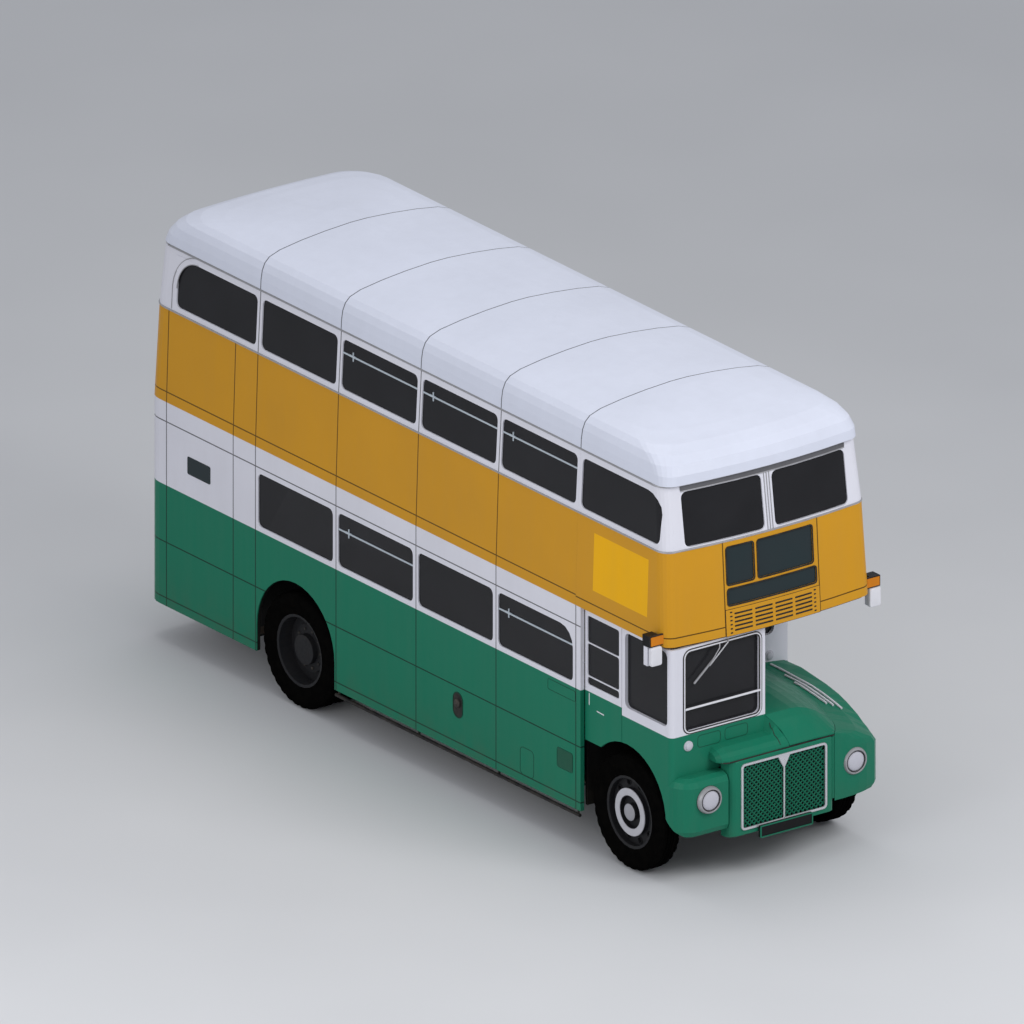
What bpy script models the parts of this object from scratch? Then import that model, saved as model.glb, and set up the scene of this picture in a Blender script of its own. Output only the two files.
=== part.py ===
# Double decker bus with a half cab and an open rear platform, in metres.
# +Z is up and the front faces -Y. The origin is on the ground under the middle of the bounding box.
# The driver's side is -X. Lengths along the bus are stations: metres forward of the rear axle.
import math

import bmesh
import bpy
from mathutils import Matrix

for old in list(bpy.data.objects):
    bpy.data.objects.remove(old, do_unlink=True)

# Driving dimensions of the whole vehicle
HALF_WIDTH = 1.219
WHEELBASE = 5.2
RIM_R = 0.36
TYRE_DEPTH = 0.21
TYRE_R = RIM_R + TYRE_DEPTH
FRONT_END = 6.16
REAR_END = -2.42

# Fits and thicknesses
SEAT_GAP = 0.0003
RUN_GAP = 0.006
OVERRUN = 0.02
PIN_GAP = 0.0006
WALL = 0.045
SKIN = 0.014
GLASS = 0.006
PANEL_EDGE = 0.025

# Heights of the body
SKIRT_Z = 0.385
LOWER_SILL_Z = 1.665
LOWER_HEAD_Z = 2.205
DECK_Z = 2.46
WAIST_Z = 3.39
UPPER_SILL_Z = 3.46
UPPER_HEAD_Z = 3.99
EAVES_Z = 4.045
CROWN_Z = 4.476

# Stations along the body
REAR_SEAM = -2.05
PLATFORM_FRONT = -0.99
BAY_REAR = -0.636
BAY = 1.2715
BAYS = 4
PILLAR = 0.08
SALOON_FRONT = 4.53
UPPER_SIDE_FRONT = BAY_REAR + BAY * BAYS
UPPER_FRONT_WINDOW = 5.73
DOOR_FRONT = 5.115
CAB_FRONT = 5.9
UPPER_FRONT = 5.97
UPPER_REAR_WINDOW = -1.94

# Lean of the body above the decks
WAIST_IN = 0.03
WAIST_SETBACK = 0.06
WAIST_REAR_IN = 0.04
EAVES_IN = 0.065
EAVES_SETBACK = 0.15
EAVES_REAR_IN = 0.1

# Window openings
WINDOW_R = 0.06
WINDOW_BIG_R = 0.2
REBATE = 0.03
FRONT_WINDOW_IN = 0.06
FRONT_WINDOW_OUT = HALF_WIDTH - 0.259
FRONT_WINDOW_DROP = 0.04
EMERGENCY_HALF = 0.56
SCREEN_DEPTH = 0.02
EMERGENCY_DEPTH = 0.013

# Cab
CAB_SIDE_IN = 0.051
CAB_X = HALF_WIDTH - CAB_SIDE_IN
CAB_INNER_X = 0.06
CAB_WALL = 0.035
CAB_CORNER_R = 0.055
CAB_BOTTOM_Z = 1.13
DOOR_BOTTOM_Z = 1.11
DOOR_T = 0.028
SCREEN_SILL_Z = 1.57
SCREEN_HEAD_Z = 2.38
SCREEN_SIDE = 0.168
SCREEN_OUT = CAB_X - SCREEN_SIDE
SCREEN_IN = 0.09
CAB_WINDOW_REAR = 5.17
CAB_WINDOW_FRONT = 5.842
CAB_WINDOW_SILL_Z = 1.64
CAB_WINDOW_HEAD_Z = 2.4
DOOR_STILE = 0.045
DOOR_STILE_FRONT = 0.04
DOOR_WINDOW_SILL_Z = 1.68
DOOR_BAR_LOW_Z = 1.77
DOOR_BAR_HIGH_Z = 2.11
DOOR_WINDOW_HEAD_Z = 2.39

# Wheels, axles and arches
TYRE_W = 0.235
TYRE_SIDE_IN = 0.019
REAR_TYRE_FACE = HALF_WIDTH - TYRE_SIDE_IN
FRONT_TYRE_FACE = CAB_X - 0.002
TWIN_PITCH = 0.285
KINGPIN_IN = 0.236
KINGPIN_X = FRONT_TYRE_FACE - KINGPIN_IN
KINGPIN_R = 0.045
KINGPIN_HALF = 0.14
FORK_T = 0.05
FORK_W = 0.08
FORK_REACH = 0.035
UPRIGHT_W = 0.06
BEAM_H = 0.09
AXLE_TUBE_R = 0.09
AXLE_TUBE_END = 0.5
AXLE_TAPER = 0.05
AXLE_BOWL_R = 0.19
AXLE_BOWL_HALF = 0.12
SHAFT_R = 0.04
SHAFT_FALL = 0.03
ARCH_GAP = 0.05
ARCH_R = TYRE_R + ARCH_GAP
ARCH_RISE = 0.08
ARCH_Z = TYRE_R + ARCH_RISE
ROUND = 28
WHEEL_STEPS = 28

# Wheel discs: radii and how far they stand from the wheel's middle
RIM_T = 0.027
RIM_HALF = 0.09
FRONT_HUB_R = 0.05
GUARD_R = 0.235
GUARD_IN_R = 0.163
CAP_R = 0.085
DISC_OUT = 0.03
GUARD_OUT = 0.08
CAP_OUT = 0.095
REAR_HUB_R = 0.07
REAR_FLANGE_R = 0.148
REAR_DRUM_R = 0.2
REAR_DRUM_NECK_R = 0.16
REAR_DRUM_END = 0.12
REAR_DISH = 0.055

# Floors
FLOOR_T = 0.04
BOX_GAP = 0.01
BOX_SIDE_GAP = 0.06
SALOON_FLOOR_Z = TYRE_R + SHAFT_R + BOX_GAP + FLOOR_T
PLATFORM_Z = 0.4
WHEEL_BOX_IN = REAR_TYRE_FACE - TWIN_PITCH - TYRE_W - BOX_SIDE_GAP
WHEEL_BOX_TOP = ARCH_Z + ARCH_R + BOX_GAP
CAB_FLOOR_Z = WHEEL_BOX_TOP + 0.005
AXLE_COVER = 0.26
AXLE_COVER_Z = TYRE_R + AXLE_BOWL_R + BOX_SIDE_GAP
DECK_UNDER = 0.03
DECK_OVER = 0.02
STAIR_IN = 0.5
STAIR_REAR = -2.1
STAIR_FRONT = -0.72
STAIR_RISERS = 9
REAR_PANEL_X = 0.12
HEADER_Z = 2.28

# Bonnet, wings and grille
NOSE_FRONT = 6.1
NOSE_Z = 1.235
EDGE_LAP = 0.002
BONNET_T = 0.016
HINGE_X = -CAB_INNER_X + SEAT_GAP
SHELL_HALF = 0.61
SHOULDER_X = SHELL_HALF + 0.11
SHELL_FRONT = 6.115
SHELL_REAR = 5.94
SHELL_BOTTOM_Z = 0.45
GRILLE_SIDE = 0.105
GRILLE_HALF = SHELL_HALF - GRILLE_SIDE
GRILLE_LOW_Z = 0.52
GRILLE_HIGH_Z = 1.195
GRILLE_FRAME = 0.026
GRILLE_R = 0.045
GRILLE_DEPTH = 0.05
LATTICE_PITCH = 0.08
LATTICE_BAR = 0.011
POD_FRONT = 6.075
POD_REAR = WHEELBASE + ARCH_R + BOX_GAP
POD_IN = SHELL_HALF + BOX_GAP
RIGHT_POD_LOW_Z = 0.53
LEFT_POD_LOW_Z = 0.565
LEFT_POD_HIGH_Z = 1.08
POD_CORNER_R = 0.2
LAMP_IN = 0.035
LAMP_X = (SHELL_HALF + CAB_X) / 2 - LAMP_IN
LAMP_Z = 0.91
LAMP_SEAT = 6.062
BEZEL_R = 0.137
BEZEL_LIP = 0.015
LENS_R = 0.103
LENS_OUT = 0.055
PLATE_HALF = 0.305
PLATE_LOW_Z = 0.42
PLATE_HIGH_Z = 0.535

# Engine and frame
ENGINE_REAR = 4.72
ENGINE_FRONT = 5.7
ENGINE_TOP_Z = 1.12
ENGINE_LOW_Z = 0.48
FRONT_RAIL_Z = 0.43
TUNNEL_HALF = 0.1

# Body sections. Columns: height, half width, front station, rear station
BODY_LEVELS = (
    (SKIRT_Z, HALF_WIDTH, UPPER_FRONT, REAR_END),
    (DECK_Z, HALF_WIDTH, UPPER_FRONT, REAR_END),
    (WAIST_Z, HALF_WIDTH - WAIST_IN, UPPER_FRONT - WAIST_SETBACK, REAR_END + WAIST_REAR_IN),
    (EAVES_Z, HALF_WIDTH - EAVES_IN, UPPER_FRONT - EAVES_SETBACK, REAR_END + EAVES_REAR_IN),
)
# The roof's rounding. Columns: share of its rise, then shares of the half width: inset of the side,
# of the front and of the rear, radius of the front and rear corners, and thickness below
ROOF_SHARES = (
    (0.0, 0.05, 0.082, 0.078, 0.131, 0.18, 0.0),
    (0.22, 0.054, 0.082, 0.098, 0.148, 0.213, 0.0),
    (0.429, 0.066, 0.115, 0.148, 0.18, 0.254, 0.008),
    (0.592, 0.091, 0.18, 0.221, 0.23, 0.287, 0.016),
    (0.708, 0.135, 0.287, 0.328, 0.279, 0.312, 0.025),
    (0.805, 0.237, 0.468, 0.509, 0.312, 0.312, 0.029),
    (0.893, 0.442, 0.714, 0.755, 0.295, 0.295, 0.029),
    (0.958, 0.672, 0.96, 1.001, 0.246, 0.246, 0.029),
    (1.0, 0.918, 1.124, 1.165, 0.066, 0.066, 0.029),
)
FRONT_BOW = 0.07
FRONT_CORNER_R = 0.14
REAR_BOW = 0.03
REAR_CORNER_R = 0.22
CORNER_STEPS = 6
BOW_SHARES = (0.66, 0.33, 0.0)


def station(f):
    """Y of a station."""
    return (FRONT_END + REAR_END) / 2 - f


FRONT_AXLE_Y = station(WHEELBASE)
REAR_AXLE_Y = station(0)


def paint(name, colour, roughness=0.4, metallic=0.0):
    found = bpy.data.materials.get(name)
    if found:
        return found
    made = bpy.data.materials.new(name)
    made.use_nodes = True
    shader = made.node_tree.nodes["Principled BSDF"]
    shader.inputs["Base Color"].default_value = (*colour, 1)
    shader.inputs["Roughness"].default_value = roughness
    shader.inputs["Metallic"].default_value = metallic
    return made


GREEN = paint("green", (0.013, 0.14, 0.085), 0.35)
ORANGE = paint("orange", (0.58, 0.28, 0.02), 0.35)
WHITE = paint("white", (0.7, 0.7, 0.74), 0.35)
BLACK = paint("black", (0.01, 0.01, 0.01), 0.6)
GLAZING = paint("glazing", (0.015, 0.015, 0.018), 0.1)
RUBBER = paint("rubber", (0.01, 0.01, 0.01), 0.85)
STEEL = paint("steel", (0.1, 0.1, 0.105), 0.45, 0.6)
ALLOY = paint("alloy", (0.6, 0.6, 0.62), 0.3, 0.9)
FLOORING = paint("flooring", (0.16, 0.1, 0.06), 0.7)
CLOTH = paint("cloth", (0.12, 0.03, 0.03), 0.9)
LENS = paint("lens", (0.75, 0.75, 0.78), 0.15)
AMBER = paint("amber", (0.8, 0.3, 0.01), 0.3)


def solid(name, points, faces, material):
    """A closed mesh object whose faces point outwards."""
    work = bmesh.new()
    made = [work.verts.new(p) for p in points]
    for face in faces:
        work.faces.new([made[i] for i in face])
    bmesh.ops.recalc_face_normals(work, faces=work.faces)
    mesh = bpy.data.meshes.new(name)
    work.to_mesh(mesh)
    work.free()
    mesh.materials.append(material)
    obj = bpy.data.objects.new(name, mesh)
    bpy.context.scene.collection.objects.link(obj)
    return obj


def smooth(obj, angle=35):
    obj.data.shade_smooth()
    obj.data.set_sharp_from_angle(angle=math.radians(angle))
    return obj


def loft(name, rings, material, closed=False):
    """Rings of equally many points joined one after the other, with the ends capped unless closed."""
    count = len(rings[0])
    points = [p for ring in rings for p in ring]
    faces = []
    for k in range(len(rings) if closed else len(rings) - 1):
        a, b = k * count, (k + 1) % len(rings) * count
        for i in range(count):
            j = (i + 1) % count
            faces.append((a + i, a + j, b + j, b + i))
    if not closed:
        faces.append(tuple(range(count)))
        faces.append(tuple(range((len(rings) - 1) * count, len(rings) * count)))
    return solid(name, points, faces, material)


def prism(name, outline, axis, low, high, material):
    """An outline of (a, b) pairs extruded along an axis: X takes (y, z), Y takes (x, z) and Z takes (x, y)."""
    def place(a, b, c):
        return {"X": (c, a, b), "Y": (a, c, b), "Z": (a, b, c)}[axis]
    rings = [[place(a, b, c) for a, b in outline] for c in (low, high)]
    return loft(name, rings, material)


def box(name, low, high, material):
    outline = [(low[0], low[1]), (high[0], low[1]), (high[0], high[1]), (low[0], high[1])]
    return prism(name, outline, "Z", low[2], high[2], material)


def helper(obj):
    obj.hide_render = True
    obj.display_type = "WIRE"
    return obj


def merged(objs):
    """One mesh that holds several closed shapes side by side."""
    work = bmesh.new()
    for obj in objs:
        work.from_mesh(obj.data)
    work.to_mesh(objs[0].data)
    work.free()
    for obj in objs[1:]:
        bpy.data.objects.remove(obj, do_unlink=True)
    return objs[0]


def boolean(obj, operation, others):
    other = helper(merged(others))
    other.name = f"{obj.name}_{operation.lower()}"
    step = obj.modifiers.new(operation.lower(), "BOOLEAN")
    step.operation = operation
    step.object = other
    step.use_self = len(others) > 1 and operation == "UNION"
    return obj


def cut(obj, *cutters):
    return boolean(obj, "DIFFERENCE", list(cutters))


def fuse(obj, *others):
    return boolean(obj, "UNION", list(others))


def arc(centre, radius, start, end, steps):
    """Points on an arc, in degrees, both ends included."""
    found = []
    for i in range(steps + 1):
        turn = math.radians(start + (end - start) * i / steps)
        found.append((centre[0] + radius * math.cos(turn), centre[1] + radius * math.sin(turn)))
    return found


def rounded(low_a, low_b, high_a, high_b, radii, steps=4):
    """A rectangle with its own radius at each corner: low-low, high-low, high-high, low-high."""
    if not isinstance(radii, tuple):
        radii = (radii,) * 4
    corners = (
        (low_a, low_b, 1, 1, 180),
        (high_a, low_b, -1, 1, 270),
        (high_a, high_b, -1, -1, 0),
        (low_a, high_b, 1, -1, 90),
    )
    found = []
    for (a, b, da, db, start), radius in zip(corners, radii):
        found += arc((a + da * radius, b + db * radius), radius, start, start + 90, steps)
    return found


def revolve(name, profile, centre, material, steps=ROUND, along="X"):
    """A closed profile of (radius, offset) turned about an axis through centre."""
    rings = []
    for i in range(steps):
        turn = 2 * math.pi * i / steps
        c, s = math.cos(turn), math.sin(turn)
        if along == "X":
            ring = [(centre[0] + o, centre[1] + r * c, centre[2] + r * s) for r, o in profile]
        elif along == "Y":
            ring = [(centre[0] + r * c, centre[1] + o, centre[2] + r * s) for r, o in profile]
        else:
            ring = [(centre[0] + r * c, centre[1] + r * s, centre[2] + o) for r, o in profile]
        rings.append(ring)
    return loft(name, rings, material, closed=True)


def turned(name, profile, centre, material, steps=ROUND, along="X"):
    """A solid of revolution from an open profile of (radius, offset): rings capped at both ends."""
    rings = []
    for r, o in profile:
        ring = []
        for i in range(steps):
            turn = 2 * math.pi * i / steps
            c, s = r * math.cos(turn), r * math.sin(turn)
            if along == "X":
                ring.append((centre[0] + o, centre[1] + c, centre[2] + s))
            elif along == "Y":
                ring.append((centre[0] + c, centre[1] + o, centre[2] + s))
            else:
                ring.append((centre[0] + c, centre[1] + s, centre[2] + o))
        rings.append(ring)
    return loft(name, rings, material)


def rod(name, start, end, radius, material, steps=8):
    """A round bar between two points."""
    along = [e - s for s, e in zip(start, end)]
    length = math.dist(start, end)
    along = [a / length for a in along]
    side = (0, 0, 1) if abs(along[2]) < 0.9 else (1, 0, 0)
    u = [along[1] * side[2] - along[2] * side[1], along[2] * side[0] - along[0] * side[2],
         along[0] * side[1] - along[1] * side[0]]
    norm = math.hypot(*u)
    u = [a / norm for a in u]
    v = [along[1] * u[2] - along[2] * u[1], along[2] * u[0] - along[0] * u[2],
         along[0] * u[1] - along[1] * u[0]]
    rings = []
    for base in (start, end):
        ring = []
        for i in range(steps):
            c, s = math.cos(2 * math.pi * i / steps), math.sin(2 * math.pi * i / steps)
            ring.append(tuple(b + radius * (c * p + s * q) for b, p, q in zip(base, u, v)))
        rings.append(ring)
    return loft(name, rings, material)


def at_height(levels, z, column):
    """A column of a level table at height z, by straight lines between its rows."""
    rows = [(row[0], row[column]) for row in levels]
    if z <= rows[0][0]:
        return rows[0][1]
    for (z0, a), (z1, b) in zip(rows, rows[1:]):
        if z <= z1:
            return a + (b - a) * (z - z0) / (z1 - z0)
    return rows[-1][1]


def edge_at(pairs, f):
    """The second value of a list of pairs where the first is f, by straight lines."""
    for (f0, a), (f1, b) in zip(pairs, pairs[1:]):
        if f <= f1:
            return a + (b - a) * (f - f0) / (f1 - f0)
    return pairs[-1][1]


def side_x(z, inset=0.0):
    return at_height(BODY_LEVELS, z, 1) - inset


def end_curve(half, face, radius, seam, bow, sign):
    """Half an end's outline, from the seam on the side to the middle: (x, y) pairs at one height."""
    nose = face - sign * bow
    points = [(half, station(seam))]
    for i in range(CORNER_STEPS + 1):
        turn = math.pi / 2 * i / CORNER_STEPS
        x = half - radius + radius * math.cos(turn)
        f = nose - sign * radius + sign * radius * math.sin(turn)
        points.append((x, station(f)))
    for share in BOW_SHARES:
        x = (half - radius) * share
        points.append((x, station(nose + sign * bow * (1 - share * share))))
    return points


def end_path(seam, sign):
    """The path round the front (sign 1) or the rear (sign -1) of the body, from the -X seam to the +X seam."""
    column, corner, bow = (2, FRONT_CORNER_R, FRONT_BOW) if sign > 0 else (3, REAR_CORNER_R, REAR_BOW)
    def path(inset, z):
        half = side_x(z, inset)
        face = at_height(BODY_LEVELS, z, column) - sign * inset
        right = end_curve(half, face, corner - inset, seam, bow, sign)
        left = [(-x, y) for x, y in right[:-1]]
        return left + right[::-1]
    return path


def side_path(side, f0, f1):
    def path(inset, z):
        x = side * side_x(z, inset)
        return [(x, station(f0)), (x, station(f1))]
    return path


def sweep(name, section, path, material):
    """A wall: a section of (inset, height) pairs carried along a path, with both ends capped."""
    columns = [path(inset, z) for inset, z in section]
    rings = []
    for j in range(len(columns[0])):
        rings.append([(*columns[i][j], section[i][1]) for i in range(len(section))])
    return loft(name, rings, material)


def wall_section(z0, z1, sill=None, head=None, breaks=()):
    """A wall's section, with a rebate for the glass behind the windows."""
    outer = [(0.0, z0)] + [(0.0, z) for z in breaks] + [(0.0, z1)]
    inner = [(WALL, z1)]
    if sill is not None:
        inner += [(WALL, head + REBATE), (SKIN, head + REBATE), (SKIN, sill - REBATE), (WALL, sill - REBATE)]
    inner += [(WALL, z) for z in reversed(breaks) if sill is None or not sill - REBATE <= z <= head + REBATE]
    inner.append((WALL, z0))
    return outer + inner


def glass_section(sill, head):
    front, back = SKIN + SEAT_GAP, SKIN + SEAT_GAP + GLASS
    low, high = sill - REBATE + SEAT_GAP, head + REBATE - SEAT_GAP
    return [(front, low), (front, high), (back, high), (back, low)]


def side_windows(side, spans, sill, head, rear_big=False, front_big=False):
    """Cutters for windows in a side wall, from (rear, front) stations."""
    found = []
    x0, x1 = sorted((side * (side_x(head) - WALL - OVERRUN), side * (HALF_WIDTH + OVERRUN)))
    for k, (f0, f1) in enumerate(spans):
        radii = [WINDOW_R] * 4
        # The first pair of corners is at the low end of Y, the front of the bus.
        if front_big and k == len(spans) - 1:
            radii[3] = WINDOW_BIG_R
        if rear_big and k == 0:
            radii[2] = WINDOW_BIG_R
        corner_0, corner_1, corner_2, corner_3 = radii
        outline = rounded(station(f1), sill, station(f0), head, (corner_0, corner_1, corner_2, corner_3))
        found.append(prism("window_cut", outline, "X", x0, x1, BLACK))
    return found


def bay_spans(first, last):
    half = PILLAR / 2
    return [(BAY_REAR + BAY * k + half, BAY_REAR + BAY * (k + 1) - half) for k in range(first, last)]


def arch_cutter(axle, low=0.0, reach=ARCH_R):
    """A wheel opening through both sides of the body."""
    y = station(axle)
    outline = [(y + reach, low), *arc((y, ARCH_Z), reach, 0, 180, 20), (y - reach, low)]
    return prism("arch_cut", outline, "X", -HALF_WIDTH - OVERRUN, HALF_WIDTH + OVERRUN, BLACK)


def front_y(x, z):
    """Y of the upper front's skin, away from its corners."""
    share = x / (side_x(z) - FRONT_CORNER_R)
    return station(at_height(BODY_LEVELS, z, 2) - FRONT_BOW * share ** 2)


def upper_spans():
    return [(UPPER_REAR_WINDOW, BAY_REAR - PILLAR / 2), *bay_spans(0, BAYS)]


# Destination boxes. Columns: low X, high X, low Z, high Z
DESTINATION_BOXES = (
    (-0.52, -0.21, 2.96, 3.335),
    (-0.165, 0.49, 2.96, 3.335),
    (-0.52, 0.52, 2.755, 2.918),
)


def lower_side_walls():
    section = wall_section(SKIRT_Z, DECK_Z - SEAT_GAP, LOWER_SILL_Z, LOWER_HEAD_Z)
    for side, name, rear in ((-1, "lower_wall_right", REAR_SEAM), (1, "lower_wall_left", PLATFORM_FRONT)):
        front = SALOON_FRONT if side < 0 else SALOON_FRONT - CAB_WALL - SEAT_GAP
        wall = sweep(name, section, side_path(side, rear + SEAT_GAP, front), GREEN)
        windows = side_windows(side, bay_spans(0, BAYS), LOWER_SILL_Z, LOWER_HEAD_Z, front_big=True)
        cut(wall, arch_cutter(0), *windows)
        pane = side_path(side, BAY_REAR, front - PANEL_EDGE)
        sweep(name.replace("lower_wall", "glass_lower"), glass_section(LOWER_SILL_Z, LOWER_HEAD_Z), pane, GLAZING)


def upper_side_walls():
    section = wall_section(DECK_Z, EAVES_Z - SEAT_GAP, UPPER_SILL_Z, UPPER_HEAD_Z - REBATE, (WAIST_Z,))
    for side, name in ((-1, "upper_wall_right"), (1, "upper_wall_left")):
        wall = sweep(name, section, side_path(side, REAR_SEAM + SEAT_GAP, UPPER_SIDE_FRONT - SEAT_GAP), ORANGE)
        cut(wall, *side_windows(side, upper_spans(), UPPER_SILL_Z, UPPER_HEAD_Z - REBATE, rear_big=True))
        pane = side_path(side, UPPER_REAR_WINDOW - REBATE, UPPER_SIDE_FRONT - SEAT_GAP)
        glazing = glass_section(UPPER_SILL_Z, UPPER_HEAD_Z - REBATE)
        sweep(name.replace("upper_wall", "glass_upper"), glazing, pane, GLAZING)


def upper_end_walls():
    section = wall_section(DECK_Z, EAVES_Z - SEAT_GAP, UPPER_SILL_Z, UPPER_HEAD_Z - REBATE, (WAIST_Z,))
    front = sweep("upper_wall_front", section, end_path(UPPER_SIDE_FRONT, 1), ORANGE)
    side_span = [(UPPER_SIDE_FRONT + PILLAR / 2, UPPER_FRONT_WINDOW)]
    cutters = []
    for side in (-1, 1):
        cutters += side_windows(side, side_span, UPPER_SILL_Z, UPPER_HEAD_Z - REBATE, front_big=True)
    y0, y1 = station(FRONT_END), station(UPPER_FRONT_WINDOW - FRONT_CORNER_R)
    for side in (-1, 1):
        low, high = sorted((side * FRONT_WINDOW_IN, side * FRONT_WINDOW_OUT))
        outline = rounded(low, UPPER_SILL_Z - FRONT_WINDOW_DROP, high, UPPER_HEAD_Z - REBATE, WINDOW_R)
        cutters.append(prism("front_cut", outline, "Y", y0, y1, BLACK))
    for x0, x1, z0, z1 in DESTINATION_BOXES:
        outline = rounded(x0, z0, x1, z1, PANEL_EDGE)
        rings = [[(x, front_y(x, z) + depth, z) for x, z in outline] for depth in (-OVERRUN, SCREEN_DEPTH)]
        cutters.append(loft("box_cut", rings, BLACK))
    cut(front, *cutters)
    smooth(front)
    sill = UPPER_SILL_Z - FRONT_WINDOW_DROP
    sweep("glass_upper_front", glass_section(sill + FRONT_WINDOW_DROP, UPPER_HEAD_Z - REBATE),
          end_path(UPPER_SIDE_FRONT + SEAT_GAP, 1), GLAZING)
    plain = wall_section(DECK_Z, EAVES_Z - SEAT_GAP, breaks=(WAIST_Z,))
    rear = sweep("upper_wall_rear", plain, end_path(REAR_SEAM, -1), ORANGE)
    outline = rounded(-EMERGENCY_HALF, UPPER_SILL_Z, EMERGENCY_HALF, UPPER_HEAD_Z - REBATE, WINDOW_R)
    y0, y1 = station(REAR_END) - WINDOW_BIG_R, station(REAR_END) + OVERRUN
    cut(rear, prism("emergency_cut", outline, "Y", y0, y1, BLACK))
    smooth(rear)


def ring_at(half, front, rear, radii, z):
    """A closed outline round the body at one height."""
    share = half / HALF_WIDTH
    fore = end_curve(half, front, radii[0], 0, FRONT_BOW * share, 1)[1:]
    aft = end_curve(half, rear, radii[1], 0, REAR_BOW * share, -1)[1:]
    right = fore[::-1] + aft
    left = [(-x, y) for x, y in aft[-2::-1] + fore[:-1]]
    return [(x, y, z) for x, y in right + left]


def roof():
    outer, inner = [], []
    thickest = max(row[6] for row in ROOF_SHARES) * HALF_WIDTH
    for rise, *shares in ROOF_SHARES:
        z = EAVES_Z + (CROWN_Z - EAVES_Z) * rise
        side_in, front_in, rear_in, fore_r, aft_r, thickness = [share * HALF_WIDTH for share in shares]
        half, front, rear = HALF_WIDTH - side_in, UPPER_FRONT - front_in, REAR_END + rear_in
        inset = WALL * (1 - thickness / thickest / 2)
        outer.append(ring_at(half, front, rear, (fore_r, aft_r), z))
        radii = fore_r - inset, aft_r - inset
        inner.append(ring_at(half - inset, front - inset, rear + inset, radii, z - thickness))
    return smooth(loft("roof", outer[::-1] + inner, WHITE), 40)


def lower_rear_wall():
    section = wall_section(SKIRT_Z, DECK_Z - SEAT_GAP)
    whole = end_path(REAR_SEAM, -1)
    def corner_path(inset, z):
        points = whole(inset, z)
        k = len(points) // 2
        (x0, y0), (x1, y1) = points[k], points[k + 1]
        share = (REAR_PANEL_X - x0) / (x1 - x0)
        return points[:k + 1] + [(REAR_PANEL_X, y0 + (y1 - y0) * share)]
    wall = sweep("lower_wall_rear", section, corner_path, GREEN)
    header = wall_section(HEADER_Z, DECK_Z - 2 * SEAT_GAP)
    def header_path(inset, z):
        points = whole(inset, z)
        start = (side_x(z, inset), station(PLATFORM_FRONT - SEAT_GAP))
        return points[len(points) // 2:] + [start]
    smooth(fuse(wall, sweep("platform_header", header, header_path, GREEN)))


def slab_outline(inset, z, front=None):
    """The inside of the walls at one height, as a closed outline."""
    fore = end_path(UPPER_SIDE_FRONT, 1)(inset, z)
    aft = end_path(REAR_SEAM, -1)(inset, z)
    if front is not None:
        x = side_x(z, inset)
        fore = [(-x, station(front)), (x, station(front))]
    return fore + aft[::-1]


def floors():
    low, high = DECK_Z - DECK_UNDER, DECK_Z + DECK_OVER
    deck = prism("upper_floor", slab_outline(WALL + SEAT_GAP, high), "Z", low, high, FLOORING)
    y0, y1 = station(STAIR_FRONT), station(STAIR_REAR)
    x0 = -side_x(DECK_Z, WALL + SEAT_GAP)
    cut(deck, box("stair_well", (x0 + PANEL_EDGE, y0, low - OVERRUN), (-STAIR_IN, y1, high + OVERRUN), BLACK))
    inner = HALF_WIDTH - WALL - SEAT_GAP
    y_front, y_rear = station(SALOON_FRONT - CAB_WALL - SEAT_GAP), station(PLATFORM_FRONT)
    floor = box("lower_floor", (-inner, y_front, SALOON_FLOOR_Z - FLOOR_T), (inner, y_rear, SALOON_FLOOR_Z),
                FLOORING)
    outline = slab_outline(WALL + SEAT_GAP, SKIRT_Z, PLATFORM_FRONT + FLOOR_T)
    parts = [prism("platform", outline, "Z", PLATFORM_Z - FLOOR_T, PLATFORM_Z, FLOORING)]
    parts.append(box("riser", (-inner, y_rear - FLOOR_T, PLATFORM_Z - FLOOR_T / 2),
                     (inner, y_rear, SALOON_FLOOR_Z - FLOOR_T / 2), FLOORING))
    wells = []
    reach = ARCH_R + FLOOR_T
    for side in (-1, 1):
        x0, x1 = sorted((side * WHEEL_BOX_IN, side * inner))
        parts.append(box("wheel_box", (x0, REAR_AXLE_Y - reach, SALOON_FLOOR_Z - FLOOR_T / 2),
                         (x1, REAR_AXLE_Y + reach, WHEEL_BOX_TOP), FLOORING))
        x0, x1 = sorted((side * (WHEEL_BOX_IN + FLOOR_T), side * (inner + OVERRUN)))
        wells.append(box("well", (x0, REAR_AXLE_Y - reach + FLOOR_T, PLATFORM_Z),
                         (x1, REAR_AXLE_Y + reach - FLOOR_T, WHEEL_BOX_TOP - FLOOR_T), BLACK))
    y0, y1 = REAR_AXLE_Y - AXLE_COVER, REAR_AXLE_Y + AXLE_COVER
    edge = WHEEL_BOX_IN + FLOOR_T / 2
    parts.append(box("axle_cover", (-edge, y0, SALOON_FLOOR_Z - FLOOR_T / 2), (edge, y1, AXLE_COVER_Z),
                     FLOORING))
    edge = WHEEL_BOX_IN + 2 * FLOOR_T
    wells.append(box("axle_well", (-edge, y0 + FLOOR_T, PLATFORM_Z),
                     (edge, y1 - FLOOR_T, AXLE_COVER_Z - FLOOR_T), BLACK))
    fuse(floor, *parts)
    cut(floor, wells[0])
    cut(floor, wells[1])
    cut(floor, wells[2])


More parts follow.
